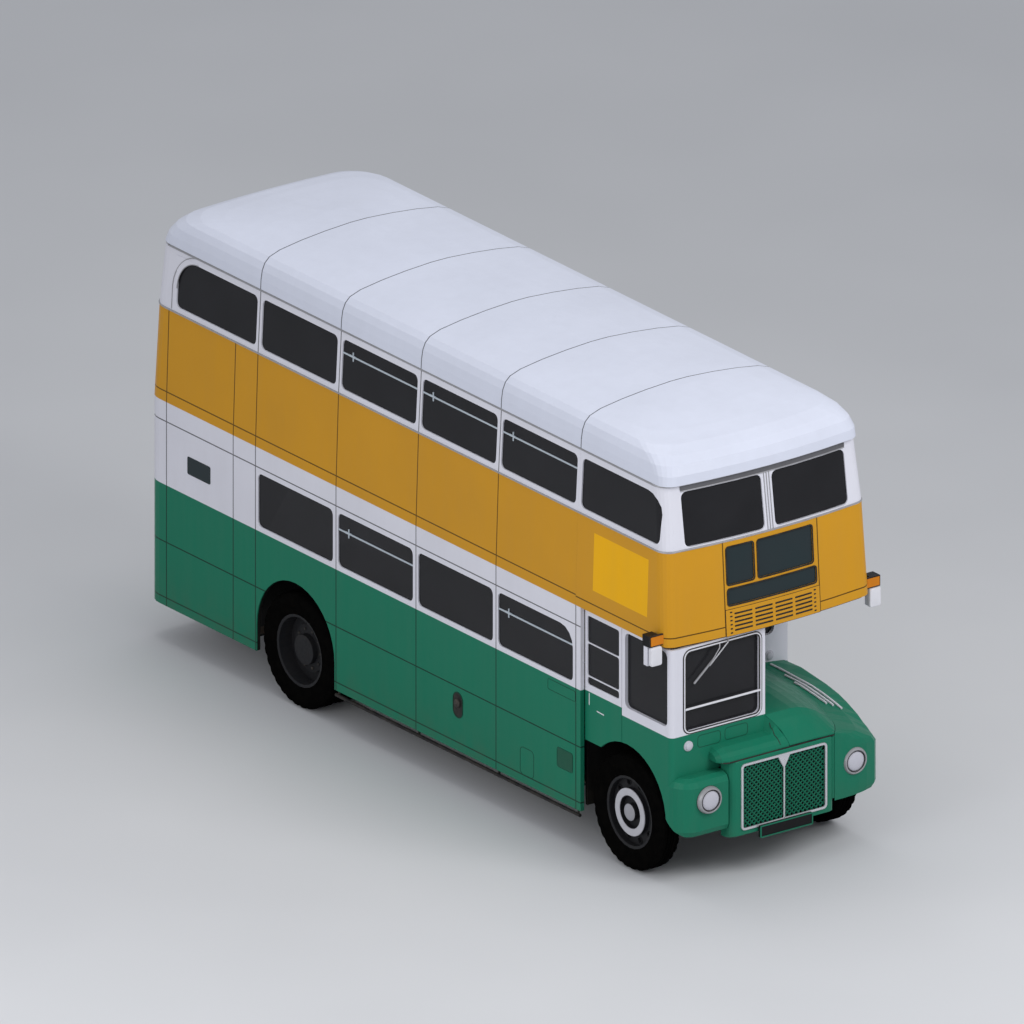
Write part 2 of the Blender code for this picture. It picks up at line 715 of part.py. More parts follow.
def staircase():
    """A flight up the driver's side of the platform, with a sloping soffit."""
    rise = (DECK_Z + DECK_OVER - PLATFORM_Z) / STAIR_RISERS
    going = (STAIR_FRONT - STAIR_REAR) / STAIR_RISERS
    steps = STAIR_RISERS - 1
    outline = [(station(STAIR_REAR), PLATFORM_Z + SEAT_GAP)]
    for k in range(steps):
        y = station(STAIR_REAR + going * k)
        outline += [(y, PLATFORM_Z + rise * (k + 1)), (y - going, PLATFORM_Z + rise * (k + 1))]
    last = station(STAIR_REAR + going * steps)
    outline += [(last, PLATFORM_Z + rise * (steps - 1)), (station(STAIR_REAR + going), PLATFORM_Z + SEAT_GAP)]
    inner = side_x(DECK_Z, WALL + SEAT_GAP)
    prism("staircase", outline, "X", -inner + PANEL_EDGE, -STAIR_IN, ALLOY)


def front_bulkhead():
    top = DECK_Z - DECK_UNDER - SEAT_GAP
    right = CAB_X - DOOR_T - RUN_GAP
    y0, y1 = station(SALOON_FRONT), station(SALOON_FRONT - CAB_WALL)
    wall = box("front_bulkhead", (-right, y0, FRONT_RAIL_Z), (HALF_WIDTH, y1, top), WHITE)
    cutters = []
    for x0, x1 in ((CAB_INNER_X, HALF_WIDTH - 2 * PILLAR), (-SCREEN_OUT, -2 * CAB_INNER_X)):
        outline = rounded(x0, LOWER_SILL_Z, x1, LOWER_HEAD_Z + REBATE, WINDOW_R)
        cutters.append(prism("bulkhead_cut", outline, "Y", y0 - OVERRUN, y1 + OVERRUN, BLACK))
    tunnel = (-TUNNEL_HALF, y0 - OVERRUN, 0), (TUNNEL_HALF, y1 + OVERRUN, SALOON_FLOOR_Z - FLOOR_T)
    cutters.append(box("tunnel_cut", *tunnel, BLACK))
    cut(wall, *cutters)
    box("glass_bulkhead", (-SCREEN_OUT - REBATE, y1 + SEAT_GAP, LOWER_SILL_Z - REBATE),
        (HALF_WIDTH - 2 * PILLAR + REBATE, y1 + SEAT_GAP + GLASS, LOWER_HEAD_Z + 2 * REBATE), GLAZING)


def cab_path(inset, z):
    x_out, x_in, front = CAB_X - inset, CAB_INNER_X + inset, CAB_FRONT - inset
    radius = CAB_CORNER_R - inset
    points = [(-x_out, station(DOOR_FRONT + RUN_GAP))]
    for i in range(CORNER_STEPS + 1):
        turn = math.pi / 2 * i / CORNER_STEPS
        y = station(front - radius + radius * math.sin(turn))
        points.append((-x_out + radius - radius * math.cos(turn), y))
    points.append((-x_in, station(front)))
    points.append((-x_in, station(SALOON_FRONT + SEAT_GAP)))
    return points


def cab_shell():
    top = DECK_Z - DECK_UNDER - SEAT_GAP
    section = [(0, CAB_BOTTOM_Z), (0, top), (CAB_WALL, top), (CAB_WALL, CAB_BOTTOM_Z)]
    shell = sweep("cab_shell", section, cab_path, WHITE)
    y0, y1 = station(CAB_FRONT + OVERRUN), station(CAB_FRONT - CAB_WALL - OVERRUN)
    screen = rounded(-SCREEN_OUT, SCREEN_SILL_Z, -SCREEN_IN - CAB_WALL, SCREEN_HEAD_Z, WINDOW_R)
    cutters = [arch_cutter(WHEELBASE, 0.0), prism("screen_cut", screen, "Y", y0, y1, BLACK)]
    x_side = -CAB_X - OVERRUN, -CAB_X + CAB_WALL + OVERRUN
    window = rounded(station(CAB_WINDOW_FRONT), CAB_WINDOW_SILL_Z, station(CAB_WINDOW_REAR), CAB_WINDOW_HEAD_Z,
                     WINDOW_R)
    cutters.append(prism("side_cut", window, "X", *x_side, BLACK))
    inner = rounded(station(CAB_WINDOW_FRONT - CAB_CORNER_R), LOWER_SILL_Z + REBATE,
                    station(SALOON_FRONT + PILLAR), SCREEN_HEAD_Z, WINDOW_R)
    x_inner = -CAB_INNER_X - CAB_WALL - OVERRUN, -CAB_INNER_X + OVERRUN
    cutters.append(prism("inner_cut", inner, "X", *x_inner, BLACK))
    cut(shell, *cutters)
    smooth(shell)
    # The glazing is one bent sheet against the inside of the walls.
    back = CAB_WALL + SEAT_GAP
    low, high = SCREEN_SILL_Z - REBATE, SCREEN_HEAD_Z + REBATE
    section = [(back, low), (back, high), (back + GLASS, high), (back + GLASS, low)]
    sweep("glass_cab", section, cab_path, GLAZING)


def cab_door():
    top = DECK_Z - DECK_UNDER - SEAT_GAP
    rear = station(SALOON_FRONT + RUN_GAP)
    outline = [(rear, DOOR_BOTTOM_Z), (rear, top),
               (station(DOOR_FRONT), top), (station(DOOR_FRONT), DOOR_BOTTOM_Z)]
    door = prism("cab_door", outline, "X", -CAB_X, -CAB_X + DOOR_T, GREEN)
    cutters = [arch_cutter(WHEELBASE)]
    f0, f1 = SALOON_FRONT + DOOR_STILE, DOOR_FRONT - DOOR_STILE_FRONT
    bars = (DOOR_WINDOW_SILL_Z, DOOR_BAR_LOW_Z, DOOR_BAR_HIGH_Z, DOOR_WINDOW_HEAD_Z)
    edge = GLASS
    for z0, z1 in zip(bars, bars[1:]):
        pane = rounded(station(f1), z0 + edge, station(f0), z1 - edge, PANEL_EDGE, 3)
        cutters.append(prism("pane_cut", pane, "X", -CAB_X - OVERRUN, -CAB_X + DOOR_T - GLASS, BLACK))
    cut(door, *cutters)


# Driver's seat and steering wheel
DRIVER_X = 0.65
DRIVER_SEAT_HALF = 0.2
DRIVER_SEAT_FRONT = 5.02
DRIVER_SEAT_REAR = 4.62
DRIVER_BACK_T = 0.1
DRIVER_SEAT_H = 0.3
DRIVER_BACK_LOW = 0.2
DRIVER_BACK_H = 0.85
STEER_STATION = 5.35
STEER_Z = 1.83
STEER_R = 0.24
STEER_RIM_R = 0.014
STEER_COLUMN_R = 0.025
SPOKE_HALF = 0.02
SPOKE_T = 0.016


def cab_floor():
    """The driver's floor over the wheel arch, with the arch's inner wall beside the engine."""
    outline = cab_path(CAB_WALL + SEAT_GAP, CAB_FLOOR_Z)
    y0, y1 = station(CAB_FRONT - CAB_WALL - SEAT_GAP), station(SALOON_FRONT + SEAT_GAP)
    floor = prism("cab_floor", [*outline, (outline[0][0], y1)], "Z", CAB_FLOOR_Z, CAB_FLOOR_Z + FLOOR_T, BLACK)
    x_in = -SHOULDER_X + 2 * PILLAR
    fuse(floor, box("arch_wall", (x_in, y0, TYRE_R), (x_in + FLOOR_T, y1, CAB_FLOOR_Z + FLOOR_T / 2), BLACK))


def driver_place():
    top = CAB_FLOOR_Z + FLOOR_T + SEAT_GAP
    x0, x1 = -DRIVER_X - DRIVER_SEAT_HALF, -DRIVER_X + DRIVER_SEAT_HALF
    y_front, y_rear = station(DRIVER_SEAT_FRONT), station(DRIVER_SEAT_REAR)
    seat = box("driver_seat", (x0, y_front, top), (x1, y_rear, top + DRIVER_SEAT_H), CLOTH)
    back = box("seat_back", (x0, y_rear - DRIVER_BACK_T, top + DRIVER_BACK_LOW),
               (x1, y_rear, top + DRIVER_BACK_H), CLOTH)
    fuse(seat, back)
    y = station(STEER_STATION)
    ring = [(STEER_R + a, b) for a, b in arc((0.0, 0.0), STEER_RIM_R, 0, 300, 5)]
    rim = revolve("steering_wheel", ring, (-DRIVER_X, y, STEER_Z), BLACK, 24, "Z")
    column = rod("column", (-DRIVER_X, y, top), (-DRIVER_X, y, STEER_Z), STEER_COLUMN_R, BLACK)
    reach = STEER_R - STEER_RIM_R / 2
    spoke = box("spoke", (-DRIVER_X - reach, y - SPOKE_HALF, STEER_Z - SPOKE_T / 2),
                (-DRIVER_X + reach, y + SPOKE_HALF, STEER_Z + SPOKE_T / 2), BLACK)
    fuse(rim, column, spoke)


# Bonnet. Columns: station, ridge height, height at the wing, width past the grille shell, inner edge
BONNET_STATIONS = (
    (SALOON_FRONT + RUN_GAP, 1.56, 1.405, 0.25, HINGE_X),
    (5.2, 1.558, 1.375, 0.24, HINGE_X),
    (5.53, 1.552, 1.325, 0.22, HINGE_X),
    (5.8, 1.54, 1.285, 0.16, HINGE_X),
    (CAB_FRONT, 1.53, 1.27, 0.13, HINGE_X),
    (5.97, 1.475, 1.262, 0.1, -0.02),
    (6.03, 1.405, 1.258, 0.06, 0.03),
    (6.07, 1.325, 1.256, 0.03, 0.06),
    (NOSE_FRONT, NOSE_Z + BONNET_T + 2 * RUN_GAP, NOSE_Z + BONNET_T + RUN_GAP, 0.0, 0.08),
)
RIDGE_X = 0.22
BONNET_STEPS = 8


def bonnet_z(row, x):
    """The height of the bonnet at a station: level to the ridge, then falling away to the wing."""
    ridge, edge, width = row[1], row[2], SHELL_HALF + row[3]
    share = max(0.0, (x - RIDGE_X) / (width - RIDGE_X))
    return ridge - (ridge - edge) * share ** 2


def bonnet():
    rings = []
    for row in BONNET_STATIONS:
        width = SHELL_HALF + row[3] - RUN_GAP - row[4]
        xs = [row[4] + width * i / BONNET_STEPS for i in range(BONNET_STEPS + 1)]
        y = station(row[0])
        top = [(x, y, bonnet_z(row, x)) for x in xs]
        under = [(x, y, bonnet_z(row, x) - BONNET_T) for x in reversed(xs)]
        rings.append(top + under)
    smooth(loft("bonnet", rings, GREEN))


# Left wing. Columns: station, share of its width by which the outer edge is drawn in, height at the side
WING_STATIONS = (
    (SALOON_FRONT + SEAT_GAP, 0.0, 1.345),
    (4.8, 0.0, 1.355),
    (5.2, 0.0, 1.31),
    (5.4, 0.0, 1.272),
    (5.53, 0.0, 1.23),
    (5.7, 0.0, 1.16),
    (POD_REAR - FLOOR_T, 0.0, 1.105),
    (POD_REAR, 0.0, 1.09),
    (POD_REAR + RUN_GAP, 0.0, 1.088),
    (CAB_FRONT, 0.01, 1.056),
    (5.97, 0.048, 1.052),
    (6.03, 0.146, 1.062),
    (6.07, 0.343, 1.085),
    (6.09, 0.524, 1.11),
    (NOSE_FRONT, 0.754, 1.14),
)
WING_FALL_SHARE = 0.35


def bonnet_edge(f):
    """Width and height where the bonnet meets the left wing."""
    past, height = [edge_at([(row[0], row[k]) for row in BONNET_STATIONS], f) for k in (3, 2)]
    return SHELL_HALF + past, height


def wing_left():
    rings = []
    for f, share, z_out in WING_STATIONS:
        x0, z_in = bonnet_edge(f)
        x1 = HALF_WIDTH - SEAT_GAP - (HALF_WIDTH - SHELL_HALF) * share
        x0, z_in, y = max(x0, SHELL_HALF + SEAT_GAP), z_in - EDGE_LAP, station(f)
        low = LEFT_POD_LOW_Z if f > POD_REAR else LEFT_POD_HIGH_Z - 2 * PILLAR
        edge = min(PILLAR / 2, (x1 - x0) / 4)
        mid = (x0 + x1) / 2
        rings.append([(x0, y, z_in), (mid, y, z_in - (z_in - z_out) * WING_FALL_SHARE),
                      (x1 - edge, y, z_out + edge / 2),
                      (x1, y, z_out - edge), (x1, y, low + edge), (x1 - edge, y, low), (x0, y, low)])
    wing = loft("wing_left", rings, GREEN)
    cut(wing, arch_cutter(WHEELBASE, 0.0, POD_REAR - WHEELBASE), lamp_seat(1))
    smooth(wing)


def lamp_seat(side):
    """The round recess that a headlamp stands in."""
    reach = FRONT_END - LAMP_SEAT
    points = [(BEZEL_R + SEAT_GAP, 0.0), (BEZEL_R + SEAT_GAP, -reach)]
    return turned("lamp_seat", points, (side * LAMP_X, station(LAMP_SEAT), LAMP_Z), BLACK, WHEEL_STEPS, "Y")


def pod(name, side, heights):
    """The bulge round a headlamp: a plan outline with one big corner, drawn in at its top and bottom."""
    outer = HALF_WIDTH - SEAT_GAP if side > 0 else CAB_X
    rings = []
    low, high = heights
    edge = PILLAR
    for z, inset in ((low, edge), (low + edge / 3, edge / 3), (low + edge, 0), (high - edge, 0),
                     (high - edge / 3, edge / 3), (high, edge)):
        radius = POD_CORNER_R - inset
        corner = arc((outer - POD_CORNER_R, POD_FRONT - POD_CORNER_R), radius, 0, 90, CORNER_STEPS)
        plan = [(outer - inset, POD_REAR), *corner, (POD_IN, POD_FRONT - inset), (POD_IN, POD_REAR)]
        rings.append([(side * x, station(f), z) for x, f in plan])
    return loft(name, rings, GREEN)


# Underside of the right wing, from the wheel arch to the front. Columns: station, height
WING_UNDERSIDE = (
    (5.3, 1.0),
    (5.72, 0.79),
    (5.85, 0.67),
    (5.95, 0.6),
    (6.02, 0.545),
    (6.09, RIGHT_POD_LOW_Z - RUN_GAP),
)


def wing_right():
    """The cab's lower corner in front of the wheel, with the headlamp's bulge."""
    low, high = RIGHT_POD_LOW_Z, CAB_BOTTOM_Z - SEAT_GAP
    corner = sweep("wing_right", [(0, low), (0, high), (CAB_WALL, high), (CAB_WALL, low)], wing_path, GREEN)
    fuse(corner, pod("pod", -1, (low, high - SEAT_GAP)))
    below = [(station(f), z) for f, z in WING_UNDERSIDE]
    below += [(station(WING_UNDERSIDE[-1][0]), 0.0), (station(WING_UNDERSIDE[0][0]), 0.0)]
    x0, x1 = -CAB_X - OVERRUN, -CAB_X + POD_CORNER_R
    cut(corner, arch_cutter(WHEELBASE))
    cut(corner, prism("underside_cut", below, "X", x0, x1, BLACK), lamp_seat(-1))
    smooth(corner)


def wing_path(inset, z):
    """The cab's outline from behind the arch's edge to the inner end of the headlamp's bulge."""
    points = cab_path(inset, z)
    start, end = (points[0][0], station(WHEELBASE)), (-POD_IN, points[-2][1])
    return [start, *points[1:-2], end]


# The hinge strip's edge on the shoulder. Columns: station, x
STRIP_EDGE = ((CAB_FRONT, -0.085), (NOSE_FRONT, -0.03))


# The hinge strip's outline above the nose. Columns: station, height
SHOULDER_LINE = (
    (CAB_FRONT + SEAT_GAP, 1.375),
    (5.99, 1.362),
    (6.06, 1.325),
    (6.09, 1.29),
    (NOSE_FRONT, 1.26),
)
SHOULDER_STEP = 0.03
SHOULDER_RUN = 0.09
SHOULDER_SHARES = (0.55, 0.85, 1.0)


def grille_shell():
    rings = []
    edge = PANEL_EDGE
    high = NOSE_Z - SEAT_GAP
    low = SHELL_BOTTOM_Z
    for z, inset in ((low, 2 * edge), (low + edge, 0), (high - edge / 2, 0), (high, edge / 2)):
        half, radius = SHELL_HALF - SEAT_GAP, PILLAR
        corner = arc((half - radius, SHELL_FRONT - inset - radius), radius, 0, 90, 4)
        fore = [(x, f) for x, f in corner]
        plan = [(half, SHELL_REAR), *fore, *[(-x, f) for x, f in reversed(fore)], (-half, SHELL_REAR)]
        rings.append([(x, station(f), z) for x, f in plan])
    shell = loft("grille_shell", rings, GREEN)
    recess = rounded(-GRILLE_HALF - SEAT_GAP, GRILLE_LOW_Z - SEAT_GAP, GRILLE_HALF + SEAT_GAP,
                     GRILLE_HIGH_Z + SEAT_GAP, GRILLE_R)
    y_back = station(SHELL_FRONT - GRILLE_DEPTH)
    cut(shell, prism("recess", recess, "Y", station(FRONT_END + OVERRUN), y_back, BLACK))
    shoulder = [(CAB_FRONT + SEAT_GAP, NOSE_Z), *SHOULDER_LINE, (NOSE_FRONT, NOSE_Z)]
    rings = []
    inner = [(row[0], row[4]) for row in BONNET_STATIONS[4:]]
    back = CAB_FRONT + SEAT_GAP
    for run, share in zip((0.0, SHOULDER_STEP, SHOULDER_RUN), SHOULDER_SHARES):
        x = run - SHOULDER_X
        rings.append([(x, station(back + (f - back) * share), NOSE_Z - EDGE_LAP + (z - NOSE_Z) * share)
                      for f, z in shoulder])
    # The strip that carries the bonnet's hinge line rises from the shoulder to the bonnet.
    rings.append([(edge_at(STRIP_EDGE, f), station(f), z - EDGE_LAP) for f, z in shoulder])
    ridge = [(row[0], row[1]) for row in BONNET_STATIONS]
    ring = []
    for f, z in shoulder:
        height = max(z, edge_at(ridge, f)) - EDGE_LAP if z > NOSE_Z else z
        ring.append((edge_at(inner, f) - RUN_GAP, station(f), height))
    rings.append(ring)
    fuse(shell, loft("nose_shoulder", rings, GREEN))
    smooth(shell)


# How deep in the frame the two ways of lattice bars lie
LATTICE_SHARES = (0.45, 0.68)


def radiator_grille():
    y0, y1 = station(SHELL_FRONT + LATTICE_BAR), station(SHELL_FRONT - GRILLE_DEPTH + SEAT_GAP)
    outer = rounded(-GRILLE_HALF, GRILLE_LOW_Z, GRILLE_HALF, GRILLE_HIGH_Z, GRILLE_R)
    inner = rounded(-GRILLE_HALF + GRILLE_FRAME, GRILLE_LOW_Z + GRILLE_FRAME, GRILLE_HALF - GRILLE_FRAME,
                    GRILLE_HIGH_Z - GRILLE_FRAME, GRILLE_R - GRILLE_FRAME / 2)
    corners = ((outer, y0), (outer, y1), (inner, y1), (inner, y0))
    rings = [[(x, y, z) for x, z in outline] for outline, y in corners]
    frame = loft("radiator_grille", rings, ALLOY, closed=True)
    mid_y = (y0 + y1) / 2
    parts = [box("centre_bar", (-LATTICE_BAR, y0, GRILLE_LOW_Z + GRILLE_FRAME / 2),
                 (LATTICE_BAR, mid_y, GRILLE_HIGH_Z - GRILLE_FRAME / 2), ALLOY)]
    inset = GRILLE_FRAME - EDGE_LAP
    width, height = 2 * (GRILLE_HALF - inset), GRILLE_HIGH_Z - GRILLE_LOW_Z - 2 * inset
    x0, z0 = -width / 2, GRILLE_LOW_Z + inset
    count = int((width + height) / LATTICE_PITCH)
    for k in range(1, count + 1):
        reach = k * LATTICE_PITCH
        start = (x0 + max(0.0, reach - height), z0 + min(reach, height))
        end = (x0 + min(reach, width), z0 + max(0.0, reach - width))
        if math.dist(start, end) < 2 * LATTICE_PITCH:
            continue
        # Bars one way lie in front of the bars the other way, which are their mirror image.
        for sign, share in zip((1, -1), LATTICE_SHARES):
            y = y0 + (y1 - y0) * share
            ends = (sign * start[0], y, start[1]), (sign * end[0], y, end[1])
            parts.append(rod("lattice", *ends, LATTICE_BAR, GREEN, 4))
    fuse(frame, *parts)


def number_plate():
    box("number_plate", (-PLATE_HALF, station(FRONT_END), PLATE_LOW_Z),
        (PLATE_HALF, station(SHELL_FRONT + LATTICE_BAR + SEAT_GAP), PLATE_HIGH_Z), BLACK)


LENS_EDGE_SHARE = 0.64
BEZEL_SHARE = 0.58


def headlamps():
    lip = BEZEL_R - BEZEL_LIP
    profile = ((LENS_R / 5, LENS_OUT), (LENS_R, LENS_OUT * LENS_EDGE_SHARE),
               (LENS_R + BEZEL_LIP / 2, LENS_OUT / 2), (lip, LENS_OUT * BEZEL_SHARE), (BEZEL_R, LENS_OUT / 3),
               (BEZEL_R, SEAT_GAP))
    for side, name in ((-1, "headlamp_right"), (1, "headlamp_left")):
        points = [(r, -o) for r, o in profile]
        smooth(turned(name, points, (side * LAMP_X, station(LAMP_SEAT), LAMP_Z), LENS, WHEEL_STEPS, "Y"))


# Mirror and indicator arms
MIRROR_STATION = 5.75
ARM_Z = 2.54
ARM_R = 0.012
ARM_REACH = 0.06
INDICATOR_IN = 0.03
INDICATOR_OUT = 0.14
INDICATOR_H = 0.11
INDICATOR_D = 0.1
STEM_X = 0.09
STEM_R = 0.01
STEM_DROP = 0.04
STEM_LAP = 0.06
HEAD_LOW_Z = 2.29
HEAD_HIGH_Z = 2.48
HEAD_D = 0.06


def mirrors():
    for side, name in ((-1, "mirror_right"), (1, "mirror_left")):
        y, x = station(MIRROR_STATION), side * side_x(ARM_Z - ARM_R)
        arm = rod(name, (x + side * SEAT_GAP, y, ARM_Z), (x + side * ARM_REACH, y, ARM_Z), ARM_R, BLACK)
        x0, x1 = sorted((x + side * INDICATOR_IN, x + side * INDICATOR_OUT))
        lamp = box("indicator", (x0, y - INDICATOR_D / 2, ARM_Z - INDICATOR_H / 2),
                   (x1, y + INDICATOR_D / 2, ARM_Z + INDICATOR_H / 2), AMBER)
        stem_x = x + side * STEM_X
        stem = rod("stem", (stem_x, y, ARM_Z - STEM_DROP), (stem_x, y, HEAD_HIGH_Z - STEM_LAP), STEM_R, BLACK)
        head = box("head", (x0, y - HEAD_D / 2, HEAD_LOW_Z), (x1 + PIN_GAP, y + HEAD_D / 2, HEAD_HIGH_Z), WHITE)
        fuse(arm, lamp, stem, head)


# A tyre's outline from the bead to the tread. Columns: share of its depth, share of its half width
TYRE_SHARES = ((0.0, 0.77), (0.143, 0.9), (0.476, 1.0), (0.786, 0.93), (0.943, 0.8), (1.0, 0.66))


def tyre_profile():
    half = [(RIM_R + TYRE_DEPTH * depth, TYRE_W / 2 * width) for depth, width in TYRE_SHARES]
    return half + [(a, -b) for a, b in reversed(half)]


HAND_HOLES = 10
HAND_HOLE_R = 0.024
HAND_HOLE_PLACE_SHARE = 0.5


def hand_holes(x):
    """Round holes through the disc between the nut guard and the rim."""
    inner, outer = GUARD_R, RIM_R - RIM_T
    radius = inner + (outer - inner) * HAND_HOLE_PLACE_SHARE
    found = []
    for y, z in arc((FRONT_AXLE_Y, TYRE_R), radius, 0, 360, HAND_HOLES)[:-1]:
        found.append(rod("hand_hole", (x - RIM_HALF, y, z), (x + RIM_HALF, y, z), HAND_HOLE_R, BLACK, 12))
    return found


def front_wheels():
    x = FRONT_TYRE_FACE - TYRE_W / 2
    hub, bore, rim = FRONT_HUB_R, RIM_R - RIM_T, RIM_R - SEAT_GAP
    outer = [(hub / 2, CAP_OUT), (CAP_R, CAP_OUT - RUN_GAP), (CAP_R, DISC_OUT + RUN_GAP), (GUARD_IN_R, DISC_OUT),
             (GUARD_IN_R, GUARD_OUT), (GUARD_R, GUARD_OUT), (GUARD_R, DISC_OUT), (bore, DISC_OUT - RUN_GAP),
             (bore, RIM_HALF - RUN_GAP), (rim, RIM_HALF), (rim, -RIM_HALF), (bore, -RIM_HALF + RUN_GAP),
             (bore, RUN_GAP - SKIN), (GUARD_IN_R, -SKIN), (GUARD_IN_R, -BOX_SIDE_GAP), (hub, -BOX_SIDE_GAP),
             (hub, DISC_OUT)]
    for side, name in ((-1, "right"), (1, "left")):
        centre = (side * x, FRONT_AXLE_Y, TYRE_R)
        profile = [(r, side * o) for r, o in outer]
        disc = turned(f"wheel_front_{name}", profile, centre, STEEL, WHEEL_STEPS)
        smooth(cut(disc, *hand_holes(side * x)))
        smooth(revolve(f"tyre_front_{name}", tyre_profile(), centre, RUBBER))
        king = rod(f"knuckle_{name}", (side * KINGPIN_X, FRONT_AXLE_Y, TYRE_R - KINGPIN_HALF),
                   (side * KINGPIN_X, FRONT_AXLE_Y, TYRE_R + KINGPIN_HALF), KINGPIN_R, STEEL, 16)
        spindle = rod("spindle", (side * KINGPIN_X, FRONT_AXLE_Y, TYRE_R),
                      (side * (x + DISC_OUT - RUN_GAP), FRONT_AXLE_Y, TYRE_R), hub - PIN_GAP, STEEL, WHEEL_STEPS)
        fuse(king, spindle)


def front_axle():
    """A beam below the frame with an upright and two fork ends at each kingpin."""
    eye = KINGPIN_X - KINGPIN_R - SEAT_GAP
    y0, y1 = FRONT_AXLE_Y - FORK_W / 2, FRONT_AXLE_Y + FORK_W / 2
    beam = box("front_axle", (-eye, y0, FRONT_RAIL_Z - BEAM_H), (eye, y1, FRONT_RAIL_Z), STEEL)
    parts = []
    near, far = KINGPIN_HALF + SEAT_GAP, KINGPIN_HALF + FORK_T
    for side in (-1, 1):
        x0, x1 = sorted((side * (eye - UPRIGHT_W), side * (KINGPIN_X + FORK_REACH)))
        parts.append(box("fork_low", (x0, y0, TYRE_R - far), (x1, y1, TYRE_R - near), STEEL))
        parts.append(box("fork_high", (x0, y0, TYRE_R + near), (x1, y1, TYRE_R + far), STEEL))
        x0, x1 = sorted((side * (eye - UPRIGHT_W), side * (eye - RUN_GAP)))
        parts.append(box("upright", (x0, y0 + RUN_GAP, FRONT_RAIL_Z - BEAM_H / 2),
                         (x1, y1 - RUN_GAP, TYRE_R + far - RUN_GAP), STEEL))
    fuse(beam, *parts)


def rear_wheels():
    x_out = REAR_TYRE_FACE - TYRE_W / 2
    hub, bore, rim, inner = REAR_HUB_R, RIM_R - RIM_T, RIM_R - SEAT_GAP, TWIN_PITCH + RIM_HALF
    outer = [(hub / 2, RIM_HALF / 2), (REAR_FLANGE_R, RIM_HALF / 2 - RUN_GAP), (REAR_FLANGE_R, -OVERRUN),
             (GUARD_R, -DISC_OUT), (GUARD_R, -REAR_DISH), (bore - RUN_GAP, -REAR_DISH - RUN_GAP),
             (bore, RIM_HALF - RUN_GAP), (rim, RIM_HALF), (rim, -inner), (bore, -inner + RUN_GAP),
             (bore - RUN_GAP, -RIM_HALF), (REAR_DRUM_R, -RIM_HALF), (REAR_DRUM_NECK_R, -REAR_DRUM_END),
             (hub, -REAR_DRUM_END), (hub, 0.0)]
    for side, name in ((-1, "right"), (1, "left")):
        centre = (side * x_out, REAR_AXLE_Y, TYRE_R)
        smooth(turned(f"wheel_rear_{name}", [(r, side * o) for r, o in outer], centre, STEEL, WHEEL_STEPS))
        smooth(revolve(f"tyre_rear_{name}_outer", tyre_profile(), centre, RUBBER))
        inside = (side * (x_out - TWIN_PITCH), REAR_AXLE_Y, TYRE_R)
        smooth(revolve(f"tyre_rear_{name}_inner", tyre_profile(), inside, RUBBER))


def rear_axle():
    """A tube with the bowl of the final drive in its middle. Its thin ends carry the hubs."""
    reach = REAR_TYRE_FACE - TYRE_W / 2 - RUN_GAP
    end, tube, bowl, side = REAR_HUB_R - PIN_GAP, AXLE_TUBE_R, AXLE_BOWL_R, AXLE_BOWL_HALF
    half = [(end, reach), (end, AXLE_TUBE_END + AXLE_TAPER), (tube, AXLE_TUBE_END), (tube, 2 * side),
            (bowl, side)]
    profile = [(r, -o) for r, o in half] + half[::-1]
    smooth(turned("rear_axle", profile, (0, REAR_AXLE_Y, TYRE_R), STEEL, WHEEL_STEPS))


# Subframes. Columns: name, rear station, front station, underside, top, cross members' underside and top
REAR_FRAME_FRONT = 1.6
REAR_RAIL_Z = 0.5
REAR_CROSS_Z = 0.42
RAIL_X = 0.42
RAIL_W = 0.1
RAIL_LAP = 0.01
FRONT_RAIL_TOP_Z = 0.56
CROSS_IN = 0.2
SUBFRAMES = (
    ("rear_subframe", AXLE_TUBE_R + SEAT_GAP, REAR_FRAME_FRONT, REAR_RAIL_Z, SALOON_FLOOR_Z - FLOOR_T - SEAT_GAP,
     REAR_CROSS_Z, REAR_RAIL_Z + RAIL_LAP),
    ("front_subframe", SALOON_FRONT + SEAT_GAP, SHELL_REAR - SEAT_GAP, FRONT_RAIL_Z + SEAT_GAP, FRONT_RAIL_TOP_Z,
     FRONT_RAIL_Z + SEAT_GAP, ENGINE_LOW_Z - SEAT_GAP),
)
TANK_SIDE_IN = 0.1
TANK_X = 0.55
TANK_LOW_Z = 0.3
TANK_R = 0.05
TANK_LENGTH = 1.5


def running_gear():
    for name, f0, f1, low, high, cross_low, cross_high in SUBFRAMES:
        rails = [box(name if side < 0 else "rail", (side * RAIL_X - RAIL_W / 2, station(f1), low),
                     (side * RAIL_X + RAIL_W / 2, station(f0), high), STEEL) for side in (-1, 1)]
        cross = []
        for f in (f0 + CROSS_IN, f1 - CROSS_IN):
            y0, y1 = station(f) - RAIL_W / 2, station(f) + RAIL_W / 2
            cross.append(box("cross", (-RAIL_X, y0, cross_low), (RAIL_X, y1, cross_high), STEEL))
        fuse(rails[0], rails[1], *cross)
    half = RAIL_X - RAIL_W / 2 - SEAT_GAP
    y0, y1 = station(ENGINE_FRONT), station(ENGINE_REAR)
    box("engine_block", (-half, y0, ENGINE_LOW_Z), (half, y1, ENGINE_TOP_Z), STEEL)
    shaft_rear = (0, station(AXLE_BOWL_R + SEAT_GAP), TYRE_R)
    rod("propshaft", shaft_rear, (0, y1 + SEAT_GAP, TYRE_R - SHAFT_FALL), SHAFT_R, STEEL, 12)
    top = SALOON_FLOOR_Z - FLOOR_T - SEAT_GAP
    section = rounded(-HALF_WIDTH + TANK_SIDE_IN, TANK_LOW_Z, -TANK_X, top, TANK_R)
    prism("fuel_tank", section, "Y", station(REAR_FRAME_FRONT + TANK_LENGTH), station(REAR_FRAME_FRONT), STEEL)


